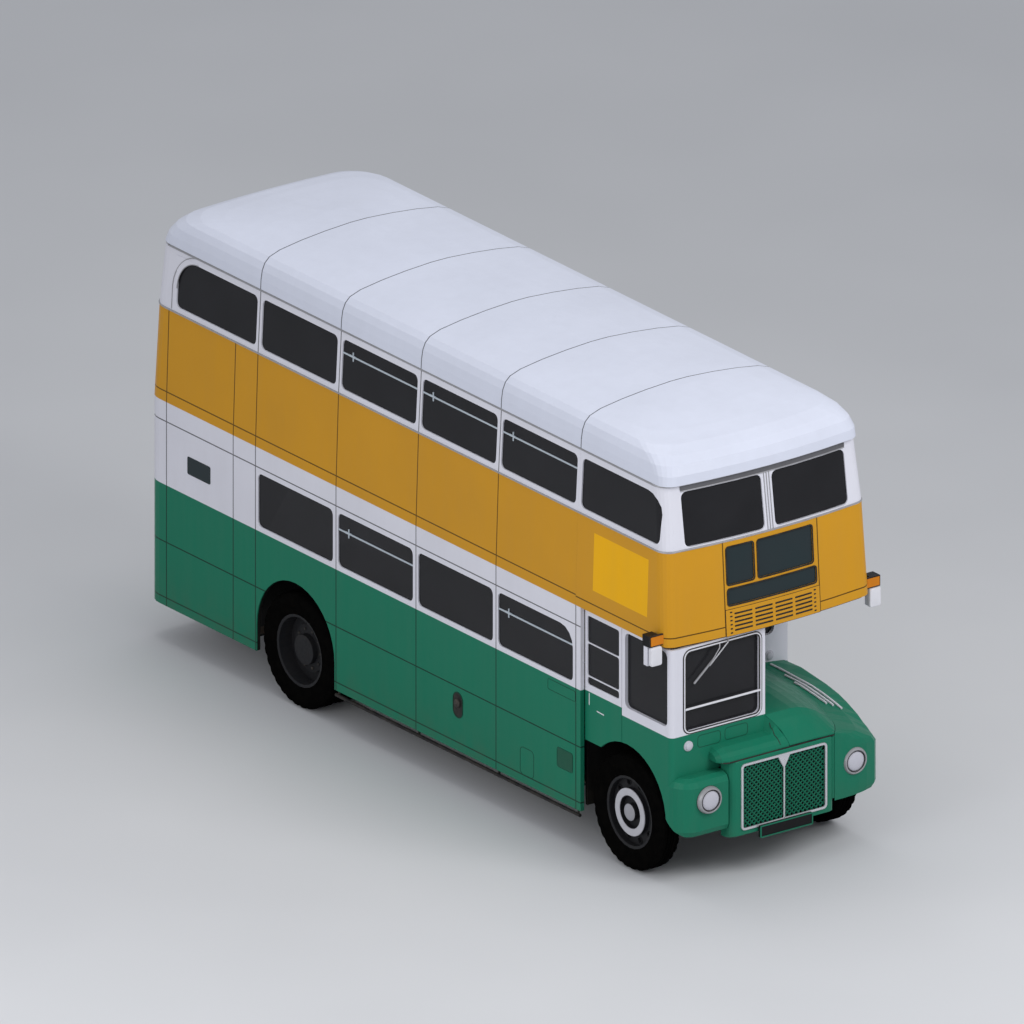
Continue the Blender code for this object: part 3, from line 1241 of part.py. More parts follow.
# Seats. Columns: deck, side, first bench station, station at the front end of the row, floor height
SEAT_ROWS = (
    ("lower", -1, 1.1, SALOON_FRONT - CAB_WALL, SALOON_FLOOR_Z),
    ("lower", 1, 1.1, SALOON_FRONT - CAB_WALL, SALOON_FLOOR_Z),
    ("upper", -1, 0.2, UPPER_FRONT_WINDOW, DECK_Z + DECK_OVER),
    ("upper", 1, -1.6, UPPER_FRONT_WINDOW, DECK_Z + DECK_OVER),
)
SEAT_PITCH = 0.7
SEAT_W = 0.86
SEAT_D = 0.42
SEAT_Z = 0.47
CUSHION_T = 0.11
BACK_T = 0.07
BACK_LOW_Z = 0.3
BACK_Z = 0.95
LEG_IN = 0.06
LEG_W = 0.04
LEG_STATION = 0.24
LEG_D = 0.06
SEAT_RAIL_DROP = 0.03
SEAT_RAIL_IN = 0.04
SEAT_RAIL_W = 0.02
SEAT_RAIL_H = 0.05
SEAT_RAIL_REAR = 0.1
SEAT_RAIL_FRONT = 0.2


def seats():
    for deck, side, first, last, floor in SEAT_ROWS:
        name = f"seats_{deck}_{'left' if side > 0 else 'right'}"
        count = int((last - first - SEAT_D) / SEAT_PITCH) + 1
        inner = (side_x(UPPER_HEAD_Z) if deck == "upper" else HALF_WIDTH) - WALL - PILLAR
        if side < 0 and deck == "lower":
            inner = CAB_X - DOOR_T - WALL
        parts = []
        base = floor + SEAT_GAP
        under = base + SEAT_Z - CUSHION_T
        x0, x1 = sorted((side * (inner - SEAT_W), side * inner))
        leg = x0 + LEG_IN if side > 0 else x1 - LEG_IN
        for k in range(count):
            f = first + SEAT_PITCH * k
            y = station(f)
            parts.append(box("cushion", (x0, y - SEAT_D, under), (x1, y, base + SEAT_Z), CLOTH))
            parts.append(box("back", (x0, y - BACK_T, base + BACK_LOW_Z), (x1, y, base + BACK_Z), CLOTH))
            parts.append(box("leg", (leg - LEG_W / 2, y - LEG_STATION - LEG_D, base),
                             (leg + LEG_W / 2, y - LEG_STATION, under + BOX_GAP), STEEL))
        rail_x = side * (inner - SEAT_RAIL_IN)
        y0, y1 = station(first + SEAT_PITCH * (count - 1) + SEAT_RAIL_FRONT), station(first + SEAT_RAIL_REAR)
        low = under - SEAT_RAIL_DROP
        rail = box(name, (rail_x - SEAT_RAIL_W / 2, y0, low), (rail_x + SEAT_RAIL_W / 2, y1, low + SEAT_RAIL_H), CLOTH)
        fuse(rail, *parts)


POLE_IN = 0.12
POLE_STATION = -2.25
POLE_R = 0.018


def platform_pole():
    x, y = HALF_WIDTH - POLE_IN, station(POLE_STATION)
    top = DECK_Z - DECK_UNDER - SEAT_GAP
    rod("platform_pole", (x, y, PLATFORM_Z + SEAT_GAP), (x, y, top), POLE_R, WHITE, 12)


def emergency_window():
    """The upper rear window, hung from its top edge, with its upper corners cut back to swing clear."""
    z0, z1 = UPPER_SILL_Z + RUN_GAP, UPPER_HEAD_Z - REBATE - SEAT_GAP
    f0, f1 = (at_height(BODY_LEVELS, z, 3) for z in (z0, z1))
    half = EMERGENCY_HALF - RUN_GAP
    low_r, high_r = WINDOW_R - RUN_GAP, WINDOW_R + 3 * RUN_GAP
    outline = rounded(-half, z0, half, z1, (low_r, low_r, high_r, high_r))
    rings = []
    for depth in (EMERGENCY_DEPTH, EMERGENCY_DEPTH + SKIN):
        rings.append([(x, station(f0 + (f1 - f0) * (z - z0) / (z1 - z0) + depth), z) for x, z in outline])
    loft("emergency_window", rings, GLAZING)


def on_axis(name, place, members):
    """An empty on a joint's axis, with the moving pieces as its children in the place they have."""
    axis = bpy.data.objects.new(name, None)
    axis.location = place
    bpy.context.scene.collection.objects.link(axis)
    for member in members:
        child = bpy.data.objects[member]
        child.parent = axis
        child.matrix_parent_inverse = Matrix.Translation([-p for p in place])


def joint_axes():
    wheel_x, twin_x = FRONT_TYRE_FACE - TYRE_W / 2, REAR_TYRE_FACE - TYRE_W / 2
    for side, name in ((-1, "right"), (1, "left")):
        on_axis(f"axis_steer_{name}", (side * KINGPIN_X, FRONT_AXLE_Y, TYRE_R), [f"knuckle_{name}"])
        on_axis(f"axis_front_wheel_{name}", (side * wheel_x, FRONT_AXLE_Y, TYRE_R),
                [f"wheel_front_{name}", f"tyre_front_{name}"])
        twins = [f"wheel_rear_{name}", f"tyre_rear_{name}_outer", f"tyre_rear_{name}_inner"]
        on_axis(f"axis_rear_wheels_{name}", (side * twin_x, REAR_AXLE_Y, TYRE_R), twins)
    on_axis("axis_bonnet", (HINGE_X, FRONT_AXLE_Y, BONNET_STATIONS[0][1]), ["bonnet"])
    on_axis("axis_cab_door", (-CAB_X, station(DOOR_FRONT), DOOR_BOTTOM_Z), ["cab_door"])
    head = UPPER_HEAD_Z - REBATE - SEAT_GAP
    rear = at_height(BODY_LEVELS, head, 3) + EMERGENCY_DEPTH
    on_axis("axis_emergency_window", (0, station(rear), head), ["emergency_window"])


lower_side_walls()
upper_side_walls()
upper_end_walls()
roof()
lower_rear_wall()
floors()
staircase()
front_bulkhead()
cab_shell()
cab_door()
cab_floor()
driver_place()
bonnet()
wing_left()
wing_right()
grille_shell()
radiator_grille()
number_plate()
headlamps()
mirrors()
front_wheels()
front_axle()
rear_wheels()
rear_axle()
running_gear()
seats()
platform_pole()
emergency_window()
joint_axes()
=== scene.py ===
# %% [markdown]
# # A half-cab double decker bus
# The body of this bus is aluminium panels on a light frame, painted in green, white and orange.
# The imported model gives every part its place. This file gives each part its finish, and adds what a coach
# painter and a trimmer would: mouldings, window rails, lamps, louvres, tread and cushions.

# %% Load the frame
import contextlib
import math

import bpy
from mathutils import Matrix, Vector


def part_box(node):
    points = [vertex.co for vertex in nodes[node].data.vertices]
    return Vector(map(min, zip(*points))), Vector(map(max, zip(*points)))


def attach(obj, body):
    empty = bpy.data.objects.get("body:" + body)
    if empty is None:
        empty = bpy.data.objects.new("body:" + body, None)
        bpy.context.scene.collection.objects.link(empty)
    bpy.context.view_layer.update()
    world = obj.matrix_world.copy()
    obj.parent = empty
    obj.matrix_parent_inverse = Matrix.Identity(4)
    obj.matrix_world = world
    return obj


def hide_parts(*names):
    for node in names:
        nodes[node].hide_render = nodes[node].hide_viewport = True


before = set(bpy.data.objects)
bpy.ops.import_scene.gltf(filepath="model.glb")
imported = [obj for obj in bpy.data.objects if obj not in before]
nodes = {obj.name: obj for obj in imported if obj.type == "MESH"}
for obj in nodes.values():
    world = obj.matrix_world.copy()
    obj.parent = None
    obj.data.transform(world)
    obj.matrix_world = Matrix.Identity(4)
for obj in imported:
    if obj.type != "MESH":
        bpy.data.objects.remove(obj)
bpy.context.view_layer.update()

# %% [markdown]
# The body leans in above the waist, so a strip or a window rail can't simply be placed at one width.
# These few numbers repeat the body's own section, and the functions give the skin's place at any height.
# Lengths along the bus are stations: metres forward of the rear axle.

# %% Measures of the body
FRONT_END, REAR_END = 6.16, -2.42
BODY_LEVELS = ((0.385, 1.219, 5.97, -2.42), (2.46, 1.219, 5.97, -2.42), (3.39, 1.189, 5.91, -2.38),
               (4.045, 1.154, 5.82, -2.32))
HALF, NOSE, TAIL = 1, 2, 3  # columns of a level, after its height
FRONT_BOW, FRONT_CORNER_R = 0.07, 0.14
REAR_BOW, REAR_CORNER_R = 0.03, 0.22
WHEELBASE = 5.2
TYRE_R, RIM_R, TYRE_W = 0.57, 0.36, 0.235
BAY_REAR, BAY, PILLAR = -0.636, 1.2715, 0.08
LOWER_SILL_Z, UPPER_SILL_Z = 1.665, 3.46
WAIST_Z, DECK_Z, BELT_Z, CAB_BELT_Z, EAVES_Z = 3.39, 2.46, 1.615, 1.54, 4.045
CAB_X, CAB_FRONT = 1.168, 5.9
SIDES = {"right": -1, "left": 1}


def station(f):
    return (FRONT_END + REAR_END) / 2 - f


def level(z, column):
    """A column of the body's levels at a height."""
    if z <= BODY_LEVELS[0][0]:
        return BODY_LEVELS[0][column]
    for low, high in zip(BODY_LEVELS, BODY_LEVELS[1:]):
        if z <= high[0]:
            return low[column] + (high[column] - low[column]) * (z - low[0]) / (high[0] - low[0])
    return BODY_LEVELS[-1][column]


def end_y(x, z, front=True):
    """Y of the curved front or rear skin at a place."""
    sign, column = (1, NOSE) if front else (-1, TAIL)
    bow, corner = (FRONT_BOW, FRONT_CORNER_R) if front else (REAR_BOW, REAR_CORNER_R)
    flat = level(z, HALF) - corner
    nose = level(z, column) - sign * bow
    if abs(x) <= flat:
        return station(nose + sign * bow * (1 - (x / flat) ** 2))
    across = min(1.0, (abs(x) - flat) / corner)
    return station(nose - sign * corner * (1 - math.sqrt(1 - across * across)))


print("half width at the sills:", round(level(LOWER_SILL_Z, HALF), 3), round(level(UPPER_SILL_Z, HALF), 3))

# %% [markdown]
# ## Tools for finishes
# A finish is a tree of shader nodes. Written as plain arithmetic, it reads like the rule that a painter
# follows: white where the height is over the belt. The first class lets sockets take part in sums.

# %% Shader arithmetic
SOCKETS = {"specular_ior_level": "Specular IOR Level"}


def maths(operation):
    """A method that puts a Math node after this socket and any other value."""
    return lambda self, *others: self.math(operation, self, *others)


class Wire:
    """A node's output, which can be added, multiplied and compared as a number is."""

    def __init__(self, finish, socket):
        self.finish, self.socket = finish, socket

    def math(self, operation, *values):
        return self.finish.node("ShaderNodeMath", {"operation": operation}, dict(enumerate(values)))

    def __rsub__(self, other):
        return self.math("SUBTRACT", other, self)

    __add__, __sub__, __mul__, __truediv__ = (maths(o) for o in ("ADD", "SUBTRACT", "MULTIPLY", "DIVIDE"))
    __gt__, __lt__, __or__ = (maths(o) for o in ("GREATER_THAN", "LESS_THAN", "MAXIMUM"))
    __abs__ = maths("ABSOLUTE")


class Finish:
    """A material, with one method that adds any node."""

    def __init__(self, name, **sockets):
        self.material = bpy.data.materials.new(name)
        self.material.use_nodes = True
        self.tree = self.material.node_tree
        self.shader = self.tree.nodes["Principled BSDF"]
        self.set(**sockets)
        place = self.tree.nodes.new("ShaderNodeTexCoord")
        self.place = Wire(self, place.outputs["Object"])
        axes = self.tree.nodes.new("ShaderNodeSeparateXYZ")
        self.put(axes.inputs[0], self.place)
        self.x, self.y, self.z = (Wire(self, axes.outputs[k]) for k in range(3))

    def put(self, socket, value):
        if isinstance(value, Wire):
            self.tree.links.new(value.socket, socket)
        elif isinstance(value, tuple) and socket.type == "RGBA":
            socket.default_value = (*value, 1)
        else:
            socket.default_value = value

    def set(self, **sockets):
        for name, value in sockets.items():
            self.put(self.shader.inputs[SOCKETS.get(name, name.replace("_", " ").title())], value)

    def node(self, kind, settings=None, sockets=None, output=0):
        made = self.tree.nodes.new(kind)
        for name, value in (settings or {}).items():
            setattr(made, name, value)
        for name, value in (sockets or {}).items():
            self.put(made.inputs[name], value)
        return Wire(self, made.outputs[output])

    def mix(self, share, first, second):
        """The first colour where share is 0 and the second where it is 1."""
        return self.node("ShaderNodeMix", {"data_type": "RGBA"}, {0: share, 6: first, 7: second}, 2)

    def ramp(self, value, start, end, low=0.0, high=1.0):
        """Carries start to end evenly to low to high, and holds those beyond."""
        names = {"Value": value, "From Min": start, "From Max": end, "To Min": low, "To Max": high}
        return self.node("ShaderNodeMapRange", {}, names)

    def over(self, value, at):
        """1 where value is over a height or place, with a soft edge 4 mm wide."""
        return self.ramp(value, at - 0.002, at + 0.002)

    def between(self, value, low, high):
        return self.over(value, low) * (1 - self.over(value, high))

    def line(self, value, at, width):
        return abs(value - at) < width / 2

    def noise(self, scale, detail, stretch=(1, 1, 1)):
        where = self.node("ShaderNodeMapping", {}, {"Vector": self.place, "Scale": stretch})
        return self.node("ShaderNodeTexNoise", {}, {"Vector": where, "Scale": scale, "Detail": detail})

    def spread(self, value, low, high):
        """Carries 0.3 to 0.7, where most noise lies, to low to high."""
        return self.ramp(value, 0.3, 0.7, low, high)

    def bump(self, height, strength, distance):
        names = {"Height": height, "Strength": strength, "Distance": distance}
        self.set(normal=self.node("ShaderNodeBump", {}, names))


GREEN = (0.009, 0.172, 0.1)
ORANGE = (0.6, 0.29, 0.018)
YELLOW = (0.84, 0.43, 0.004)
WHITE = (0.71, 0.71, 0.78)
# The roof's white is the side's white paint tinted bluer: painted light from the sky on the top.
SKYLIT_ROOF_WHITE = (0.67, 0.7, 0.81)
LINING = (0.3, 0.33, 0.27)
SEAM = (0.004, 0.004, 0.004)
DUST = (0.1, 0.085, 0.06)
UNDERSIDE = (0.006, 0.006, 0.006)
print("paint tools ready")

# %% [markdown]
# ## Coach paint
# A real coach is sprayed and brushed in bands, and the joints between its panels show as fine dark lines.
# The joints could be cut into the mesh, but the frame must not change, so they are drawn by place: each is a
# line at a station or height. Road dust rises from the skirt, and a faint ripple breaks up the gloss.

# %% Coach paint
SEAM_W = 0.013
SIDE_STATIONS = (-2.05, -0.99, -0.636, 0.644, 1.915, 3.187, 4.456)
SIDE_LEVELS = (0.47, 1.035, 2.262, 2.565)
INSIDE_REAR, INSIDE_FRONT = -2.0, 4.44  # stations between which the side walls show an inner face
PANEL_HALF, PANEL_Z = 0.555, 2.55  # the joints of the upper front
PATCH_F, PATCH_Z = (4.715, 5.578), (2.69, 3.27)  # the plain yellow patch


def weathered(paint, colour, dusty=True):
    """Adds tone, streaks and dust to a paint's colour, and gives back the finished material."""
    colour = paint.mix(paint.spread(paint.noise(1.3, 4), 0.0, 0.06), colour, (0.05, 0.05, 0.055))
    streaks = paint.spread(paint.noise(9, 2, (1, 1, 0.08)), 0.0, 0.025)
    colour = paint.mix(streaks, colour, (0.2, 0.19, 0.17))
    rough = paint.spread(paint.noise(30, 3), 0.3, 0.4)
    if dusty:
        low = 1 - paint.ramp(paint.z, 0.38, 0.95)
        dirt = low * low * paint.spread(paint.noise(6, 5), 0.0, 0.22)
        colour = paint.mix(dirt, colour, DUST)
        rough = rough + dirt * 0.5
    paint.set(base_color=colour, roughness=rough, specular_ior_level=0.08)
    paint.set(coat_weight=0.03, coat_roughness=0.1)
    return paint.material


def seams(paint, colour, lines):
    """Draws panel joints, each a mask, dark and slightly sunk."""
    joint = lines[0]
    for other in lines[1:]:
        joint = joint | other
    paint.bump(paint.noise(2.2, 1) * 0.15 + (1 - joint), 0.35, 0.004)
    return paint.mix(joint * 0.8, colour, SEAM)


def behind_skin(paint):
    """1 where a side wall is over 12 mm inside its skin, and shows its lining and not its paint."""
    half = paint.ramp(paint.z, DECK_Z, EAVES_Z, BODY_LEVELS[1][HALF], BODY_LEVELS[3][HALF])
    return 1 - (abs(paint.x) > half - 0.012)


def side_paint():
    """Four bands of colour with the panels' joints. The two rearmost joints end at the waist."""
    paint = Finish("side_paint")
    y, z = paint.y, paint.z
    colour = GREEN
    for height, band in ((BELT_Z, WHITE), (DECK_Z, ORANGE), (WAIST_Z, WHITE)):
        colour = paint.mix(paint.over(z, height), colour, band)
    panels = [paint.line(y, station(f), SEAM_W) for f in SIDE_STATIONS]
    below_waist = 1 - paint.over(z, WAIST_Z)
    panels[:2] = [mark * below_waist for mark in panels[:2]]
    colour = seams(paint, colour, panels + [paint.line(z, at, SEAM_W) for at in SIDE_LEVELS])
    inside = behind_skin(paint)
    arches = 1 - paint.over(z, LOWER_SILL_Z - 0.05)
    arches = inside * arches * paint.between(y, station(INSIDE_FRONT), station(INSIDE_REAR))
    lining = inside * paint.over(z, DECK_Z + 0.03) * (y < station(INSIDE_REAR))
    return weathered(paint, paint.mix(lining, paint.mix(arches, colour, UNDERSIDE), LINING))


def front_paint():
    """The upper front: white over orange, with the centre panel's joints and the yellow patch beside it."""
    paint = Finish("front_paint")
    x, y, z = paint.x, paint.y, paint.z
    above = paint.over(z, WAIST_Z)
    joints = [paint.line(abs(x), PANEL_HALF, SEAM_W) * (1 - above),
              paint.line(z, PANEL_Z, SEAM_W) * (abs(x) > PANEL_HALF)]
    patch = paint.between(z, *PATCH_Z) * paint.between(y, station(PATCH_F[1]), station(PATCH_F[0])) * (x < 0)
    colour = paint.mix(patch, paint.mix(above, ORANGE, WHITE), YELLOW)
    return weathered(paint, seams(paint, colour, joints), False)


def plain_paint(name, colour, above=None, split=None, dark_below=None, joints=()):
    """Paint in one colour, or two that meet at a height, with joints across the bus at some stations."""
    paint = Finish(name)
    if above:
        colour = paint.mix(paint.over(paint.z, split), colour, above)
    if dark_below:
        colour = paint.mix(paint.over(paint.z, dark_below), UNDERSIDE, colour)
    if joints:
        colour = seams(paint, colour, [paint.line(paint.y, station(f), SEAM_W) for f in joints])
    else:
        paint.bump(paint.noise(2.2, 1), 0.1, 0.004)
    return weathered(paint, colour)


PAINTS = {
    "roof_paint": (SKYLIT_ROOF_WHITE, None, None, None, SIDE_STATIONS[2:]),
    "cab_paint": (GREEN, WHITE, CAB_BELT_Z),
    "door_paint": (GREEN, WHITE, BELT_Z),
    "green_paint": (GREEN,),
    "bonnet_paint": (GREEN,),
    "orange_paint": (ORANGE,),
    "bulkhead_paint": (GREEN, WHITE, 1.35, 1.2),
    "mirror_paint": (WHITE, UNDERSIDE, 2.482),
}
finishes = {name: plain_paint(name, *row) for name, row in PAINTS.items()}
finishes.update(side_paint=side_paint(), front_paint=front_paint())
print("paints:", sorted(finishes))

# %% [markdown]
# ## Glass, rubber, metal and boards
# The photograph shows almost black windows. Tinted glass in daylight looks so because the saloon behind it is
# dark. A dark, smooth surface with a little of what is behind it showing through gives that and stays cheap.

# %% Other finishes
CHECK = 0.045  # size of the seat cloth's check


def glass_finish(name, colour, alpha):
    glass = Finish(name, specular_ior_level=0.14, alpha=alpha)
    smear = glass.spread(glass.noise(2, 4), 0.0, 0.3)
    glass.set(base_color=glass.mix(smear, colour, (0.03, 0.03, 0.034)),
              roughness=glass.spread(glass.noise(5, 4), 0.1, 0.22))
    return glass.material


def rubber_finish():
    rubber = Finish("tyre_rubber", specular_ior_level=0.0)
    dust = rubber.spread(rubber.noise(14, 5), 0.0, 0.5)
    rubber.set(base_color=rubber.mix(dust, (0.002, 0.002, 0.002), (0.005, 0.0045, 0.004)),
               roughness=rubber.spread(rubber.noise(40, 3), 0.7, 0.9))
    rubber.bump(rubber.noise(160, 2), 0.25, 0.001)
    return rubber.material


def metal_finish(name, colour, metallic, low, high, worn, wear):
    """Metal, enamel or a lens: a colour with stains, between two roughnesses."""
    metal = Finish(name, metallic=metallic, specular_ior_level=0.2)
    stain = metal.spread(metal.noise(11, 5), 0.0, wear)
    rough = metal.spread(metal.noise(25, 4), low, high)
    metal.set(base_color=metal.mix(stain, colour, worn), roughness=rough)
    metal.bump(metal.noise(90, 2), 0.06, 0.001)
    return metal.material


def board_finish():
    """Ribbed flooring: narrow slats along the bus. It is dark underneath and in the rear wheels' wells."""
    board = Finish("ribbed_floor")
    ribs = board.node("ShaderNodeTexWave", {"wave_type": "BANDS", "bands_direction": "X"},
                      {"Vector": board.place, "Scale": 14.0, "Distortion": 0.0})
    scuff = board.spread(board.noise(5, 5), 0.0, 0.5)
    colour = board.mix(ribs, (0.05, 0.035, 0.025), (0.16, 0.11, 0.07))
    colour = board.mix(scuff, colour, (0.1, 0.085, 0.07))
    below = board.between(board.z, 0.5, 0.645) * (board.y < station(-0.93))
    well = (abs(board.x) > 0.64) * (abs(board.y - station(0)) < 0.64) * (1 - board.over(board.z, 1.26))
    colour = board.mix(below | well | (1 - board.over(board.z, 0.38)), colour, UNDERSIDE)
    board.set(base_color=colour, roughness=board.spread(scuff, 0.6, 0.8))
    board.bump(ribs, 0.5, 0.003)
    return board.material


def moquette_finish():
    """Seat cloth: a short woollen pile in a small check of muted colours."""
    cloth = Finish("seat_cloth", sheen_weight=0.35, sheen_roughness=0.5)
    checks = [maths("PINGPONG")(axis, CHECK) / CHECK for axis in (cloth.x, cloth.y, cloth.z)]
    tartan = (checks[0] > 0.72) * 0.45 + (checks[1] > 0.72) * 0.3 + (checks[2] > 0.78) * 0.25
    pile = cloth.spread(cloth.noise(420, 2), 0.0, 0.6)
    colour = cloth.mix(tartan, (0.11, 0.022, 0.018), (0.3, 0.2, 0.06))
    colour = cloth.mix(pile, colour, (0.04, 0.018, 0.015))
    cloth.set(base_color=colour, roughness=cloth.spread(pile, 0.85, 0.95))
    cloth.bump(cloth.noise(500, 2), 0.4, 0.001)
    return cloth.material


# Each row: colour, metallic, lowest and highest roughness, colour of the stains and how strong they are
METALS = {
    "black_steel": ((0.012, 0.012, 0.013), 0.2, 0.45, 0.65, (0.2, 0.17, 0.13), 0.15),
    "chassis_steel": ((0.03, 0.03, 0.032), 0.5, 0.5, 0.75, (0.2, 0.17, 0.13), 0.35),
    "wheel_steel": ((0.012, 0.0125, 0.015), 0.0, 0.5, 0.65, (0.03, 0.027, 0.024), 0.25),
    "bright_trim": ((0.62, 0.62, 0.66), 0.55, 0.25, 0.4, (0.3, 0.28, 0.26), 0.12),
    "white_enamel": ((0.72, 0.72, 0.77), 0.0, 0.3, 0.45, (0.4, 0.38, 0.35), 0.12),
    "pale_rail": ((0.5, 0.56, 0.62), 0.1, 0.3, 0.4, (0.3, 0.3, 0.3), 0.1),
    "grey_moulding": ((0.36, 0.36, 0.38), 0.3, 0.3, 0.45, (0.2, 0.18, 0.16), 0.15),
    "plate_black": ((0.005, 0.005, 0.006), 0.0, 0.5, 0.6, (0.01, 0.01, 0.01), 0.1),
    "guard_enamel": ((0.48, 0.48, 0.52), 0.0, 0.4, 0.55, (0.25, 0.23, 0.21), 0.15),
    "hub_enamel": ((0.33, 0.33, 0.36), 0.0, 0.35, 0.5, (0.15, 0.14, 0.13), 0.2),
    "lamp_lens": ((0.52, 0.52, 0.58), 0.0, 0.12, 0.2, (0.4, 0.4, 0.42), 0.1),
    "amber_lens": ((0.62, 0.2, 0.006), 0.0, 0.15, 0.25, (0.3, 0.1, 0.01), 0.15),
    "red_lens": ((0.35, 0.012, 0.01), 0.0, 0.15, 0.25, (0.15, 0.02, 0.02), 0.15),
    "mesh_paint": ((0.008, 0.155, 0.088), 0.0, 0.4, 0.55, (0.01, 0.08, 0.05), 0.3),
    "seam_green": ((0.006, 0.04, 0.025), 0.0, 0.5, 0.6, (0.01, 0.02, 0.015), 0.2),
    "dark_green": ((0.01, 0.085, 0.05), 0.0, 0.4, 0.5, (0.01, 0.05, 0.03), 0.2),
    "shade_grey": ((0.12, 0.12, 0.13), 0.0, 0.5, 0.7, (0.05, 0.045, 0.04), 0.2),
    "piping": ((0.03, 0.012, 0.01), 0.0, 0.6, 0.8, (0.06, 0.03, 0.02), 0.3),
}
finishes.update({name: metal_finish(name, *row) for name, row in METALS.items()})
finishes["window_glass"] = glass_finish("window_glass", (0.018, 0.018, 0.02), 0.93)
finishes["blind_glass"] = glass_finish("blind_glass", (0.02, 0.032, 0.036), 1.0)
finishes.update(tyre_rubber=rubber_finish(), ribbed_floor=board_finish(), seat_cloth=moquette_finish())
print("finishes:", len(finishes))

# %% Give the frame its finishes
NODE_FINISHES = {  # the starts of the parts' names, where a later row overrides an earlier one
    "side_paint": "lower_wall upper_wall",
    "front_paint": "upper_wall_front",
    "roof_paint": "roof",
    "cab_paint": "cab_shell",
    "door_paint": "cab_door",
    "bulkhead_paint": "front_bulkhead",
    "green_paint": "wing grille_shell",
    "bonnet_paint": "bonnet",
    "window_glass": "glass emergency_window",
    "tyre_rubber": "tyre",
    "wheel_steel": "wheel",
    "chassis_steel": "front_axle rear_axle knuckle front_subframe rear_subframe engine_block propshaft"
                     " fuel_tank",
    "black_steel": "cab_floor steering_wheel",
    "plate_black": "number_plate",
    "mirror_paint": "mirror",
    "bright_trim": "radiator_grille headlamp",
    "hub_enamel": "staircase",
    "white_enamel": "platform_pole",
    "ribbed_floor": "lower_floor upper_floor",
    "seat_cloth": "seats driver_seat",
}


def dress(obj, finish):
    obj.data.materials.clear()
    obj.data.materials.append(finishes[finish])


dressed = set()
for finish, starts in NODE_FINISHES.items():
    for name, node in nodes.items():
        if name.startswith(tuple(starts.split())):
            dress(node, finish)
            dressed.add(name)
print("parts with a finish:", len(dressed), "left bare:", sorted(set(nodes) - dressed))

# %% [markdown]
# ## Tools for pieces
# Small fittings are made as on a bench: a plate is cut to shape, its corners rounded, and then it is laid on
# the body. The body's skin leans and bows, so laying a piece moves each of its points onto the skin.

# %% Bench tools
TURNING = {  # for each axis: its direction, and where a profile's radius and offset lie before turning
    "X": ((1, 0, 0), lambda r, o: (o, 0, r)),
    "Y": ((0, 1, 0), lambda r, o: (r, o, 0)),
    "Z": ((0, 0, 1), lambda r, o: (r, 0, o)),
}


def alone(obj):
    """Selects one object and nothing else."""
    bpy.ops.object.select_all(action="DESELECT")
    obj.select_set(True)
    bpy.context.view_layer.objects.active = obj


@contextlib.contextmanager
def editing(obj):
    """Edit mode with all of a piece selected."""
    alone(obj)
    bpy.ops.object.mode_set(mode="EDIT")
    bpy.ops.mesh.select_all(action="SELECT")
    yield
    bpy.ops.object.mode_set(mode="OBJECT")


def applied(obj, kind, **settings):
    """Adds a modifier to a piece and applies it."""
    alone(obj)
    step = obj.modifiers.new(kind, kind)
    for name, value in settings.items():
        setattr(step, name, value)
    bpy.ops.object.modifier_apply(modifier=step.name)
    return obj


def joined(pieces):
    alone(pieces[0])
    for piece in pieces:
        piece.select_set(True)
    bpy.ops.object.join()
    return pieces[0]


def settled(made, name, finish, body="body", angle=32):
    """Finishes a piece, or a list joined as one: faces outwards, smooth shading, and riding on a body."""
    obj = joined(made) if isinstance(made, list) else made
    alone(obj)
    bpy.ops.object.transform_apply(location=True, rotation=True, scale=True)
    with editing(obj):
        bpy.ops.mesh.normals_make_consistent(inside=False)
    bpy.ops.object.shade_smooth_by_angle(angle=math.radians(angle))
    obj.name = obj.data.name = name
    dress(obj, finish)
    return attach(obj, body)


def plate(width, height, radius, depth, rim=0.0, slices=0):
    """A flat plate facing -Y, its back at y 0, with round corners, and only a ring if rim is given."""
    bpy.ops.mesh.primitive_plane_add(size=1, rotation=(math.pi / 2, 0, 0))
    obj = bpy.context.object
    obj.scale = (width, height, 1)
    bpy.ops.object.transform_apply(location=True, rotation=True, scale=True)
    with editing(obj):
        bpy.ops.mesh.bevel(offset=radius, segments=5, affect="VERTICES")
        if rim:
            bpy.ops.mesh.inset(thickness=rim)
            bpy.ops.mesh.delete(type="FACE")
        for k in range(1, slices):
            bpy.ops.mesh.select_all(action="SELECT")
            bpy.ops.mesh.bisect(plane_co=(width * (k / slices - 0.5), 0, 0), plane_no=(1, 0, 0))
        bpy.ops.mesh.select_all(action="SELECT")
        bpy.ops.mesh.extrude_region_move(TRANSFORM_OT_translate={"value": (0, -depth, 0)})
    return obj


def laid(obj, rule):
    """Moves each point of a piece to where a rule of its three coordinates puts it."""
    for v in obj.data.vertices:
        v.co = rule(*v.co)
    return obj


def lay_on_side(obj, f, z):
    """Lays a plate on the offside skin with its middle at a station and height."""
    return laid(obj, lambda along, depth, up: (depth - level(z + up, HALF), station(f) - along, z + up))


def lay_on_front(obj, x, z, proud=0.0):
    """Lays a plate on the curved front skin."""
    return laid(obj, lambda along, depth, up: (x + along, end_y(x + along, z + up) + depth - proud, z + up))


def moved(obj, x, y, z):
    return laid(obj, lambda a, b, c: (a + x, b + y, c + z))


def ring(radius, count):
    """Points evenly round a circle."""
    turns = [2 * math.pi * k / count for k in range(count)]
    return [(radius * math.cos(turn), radius * math.sin(turn)) for turn in turns]


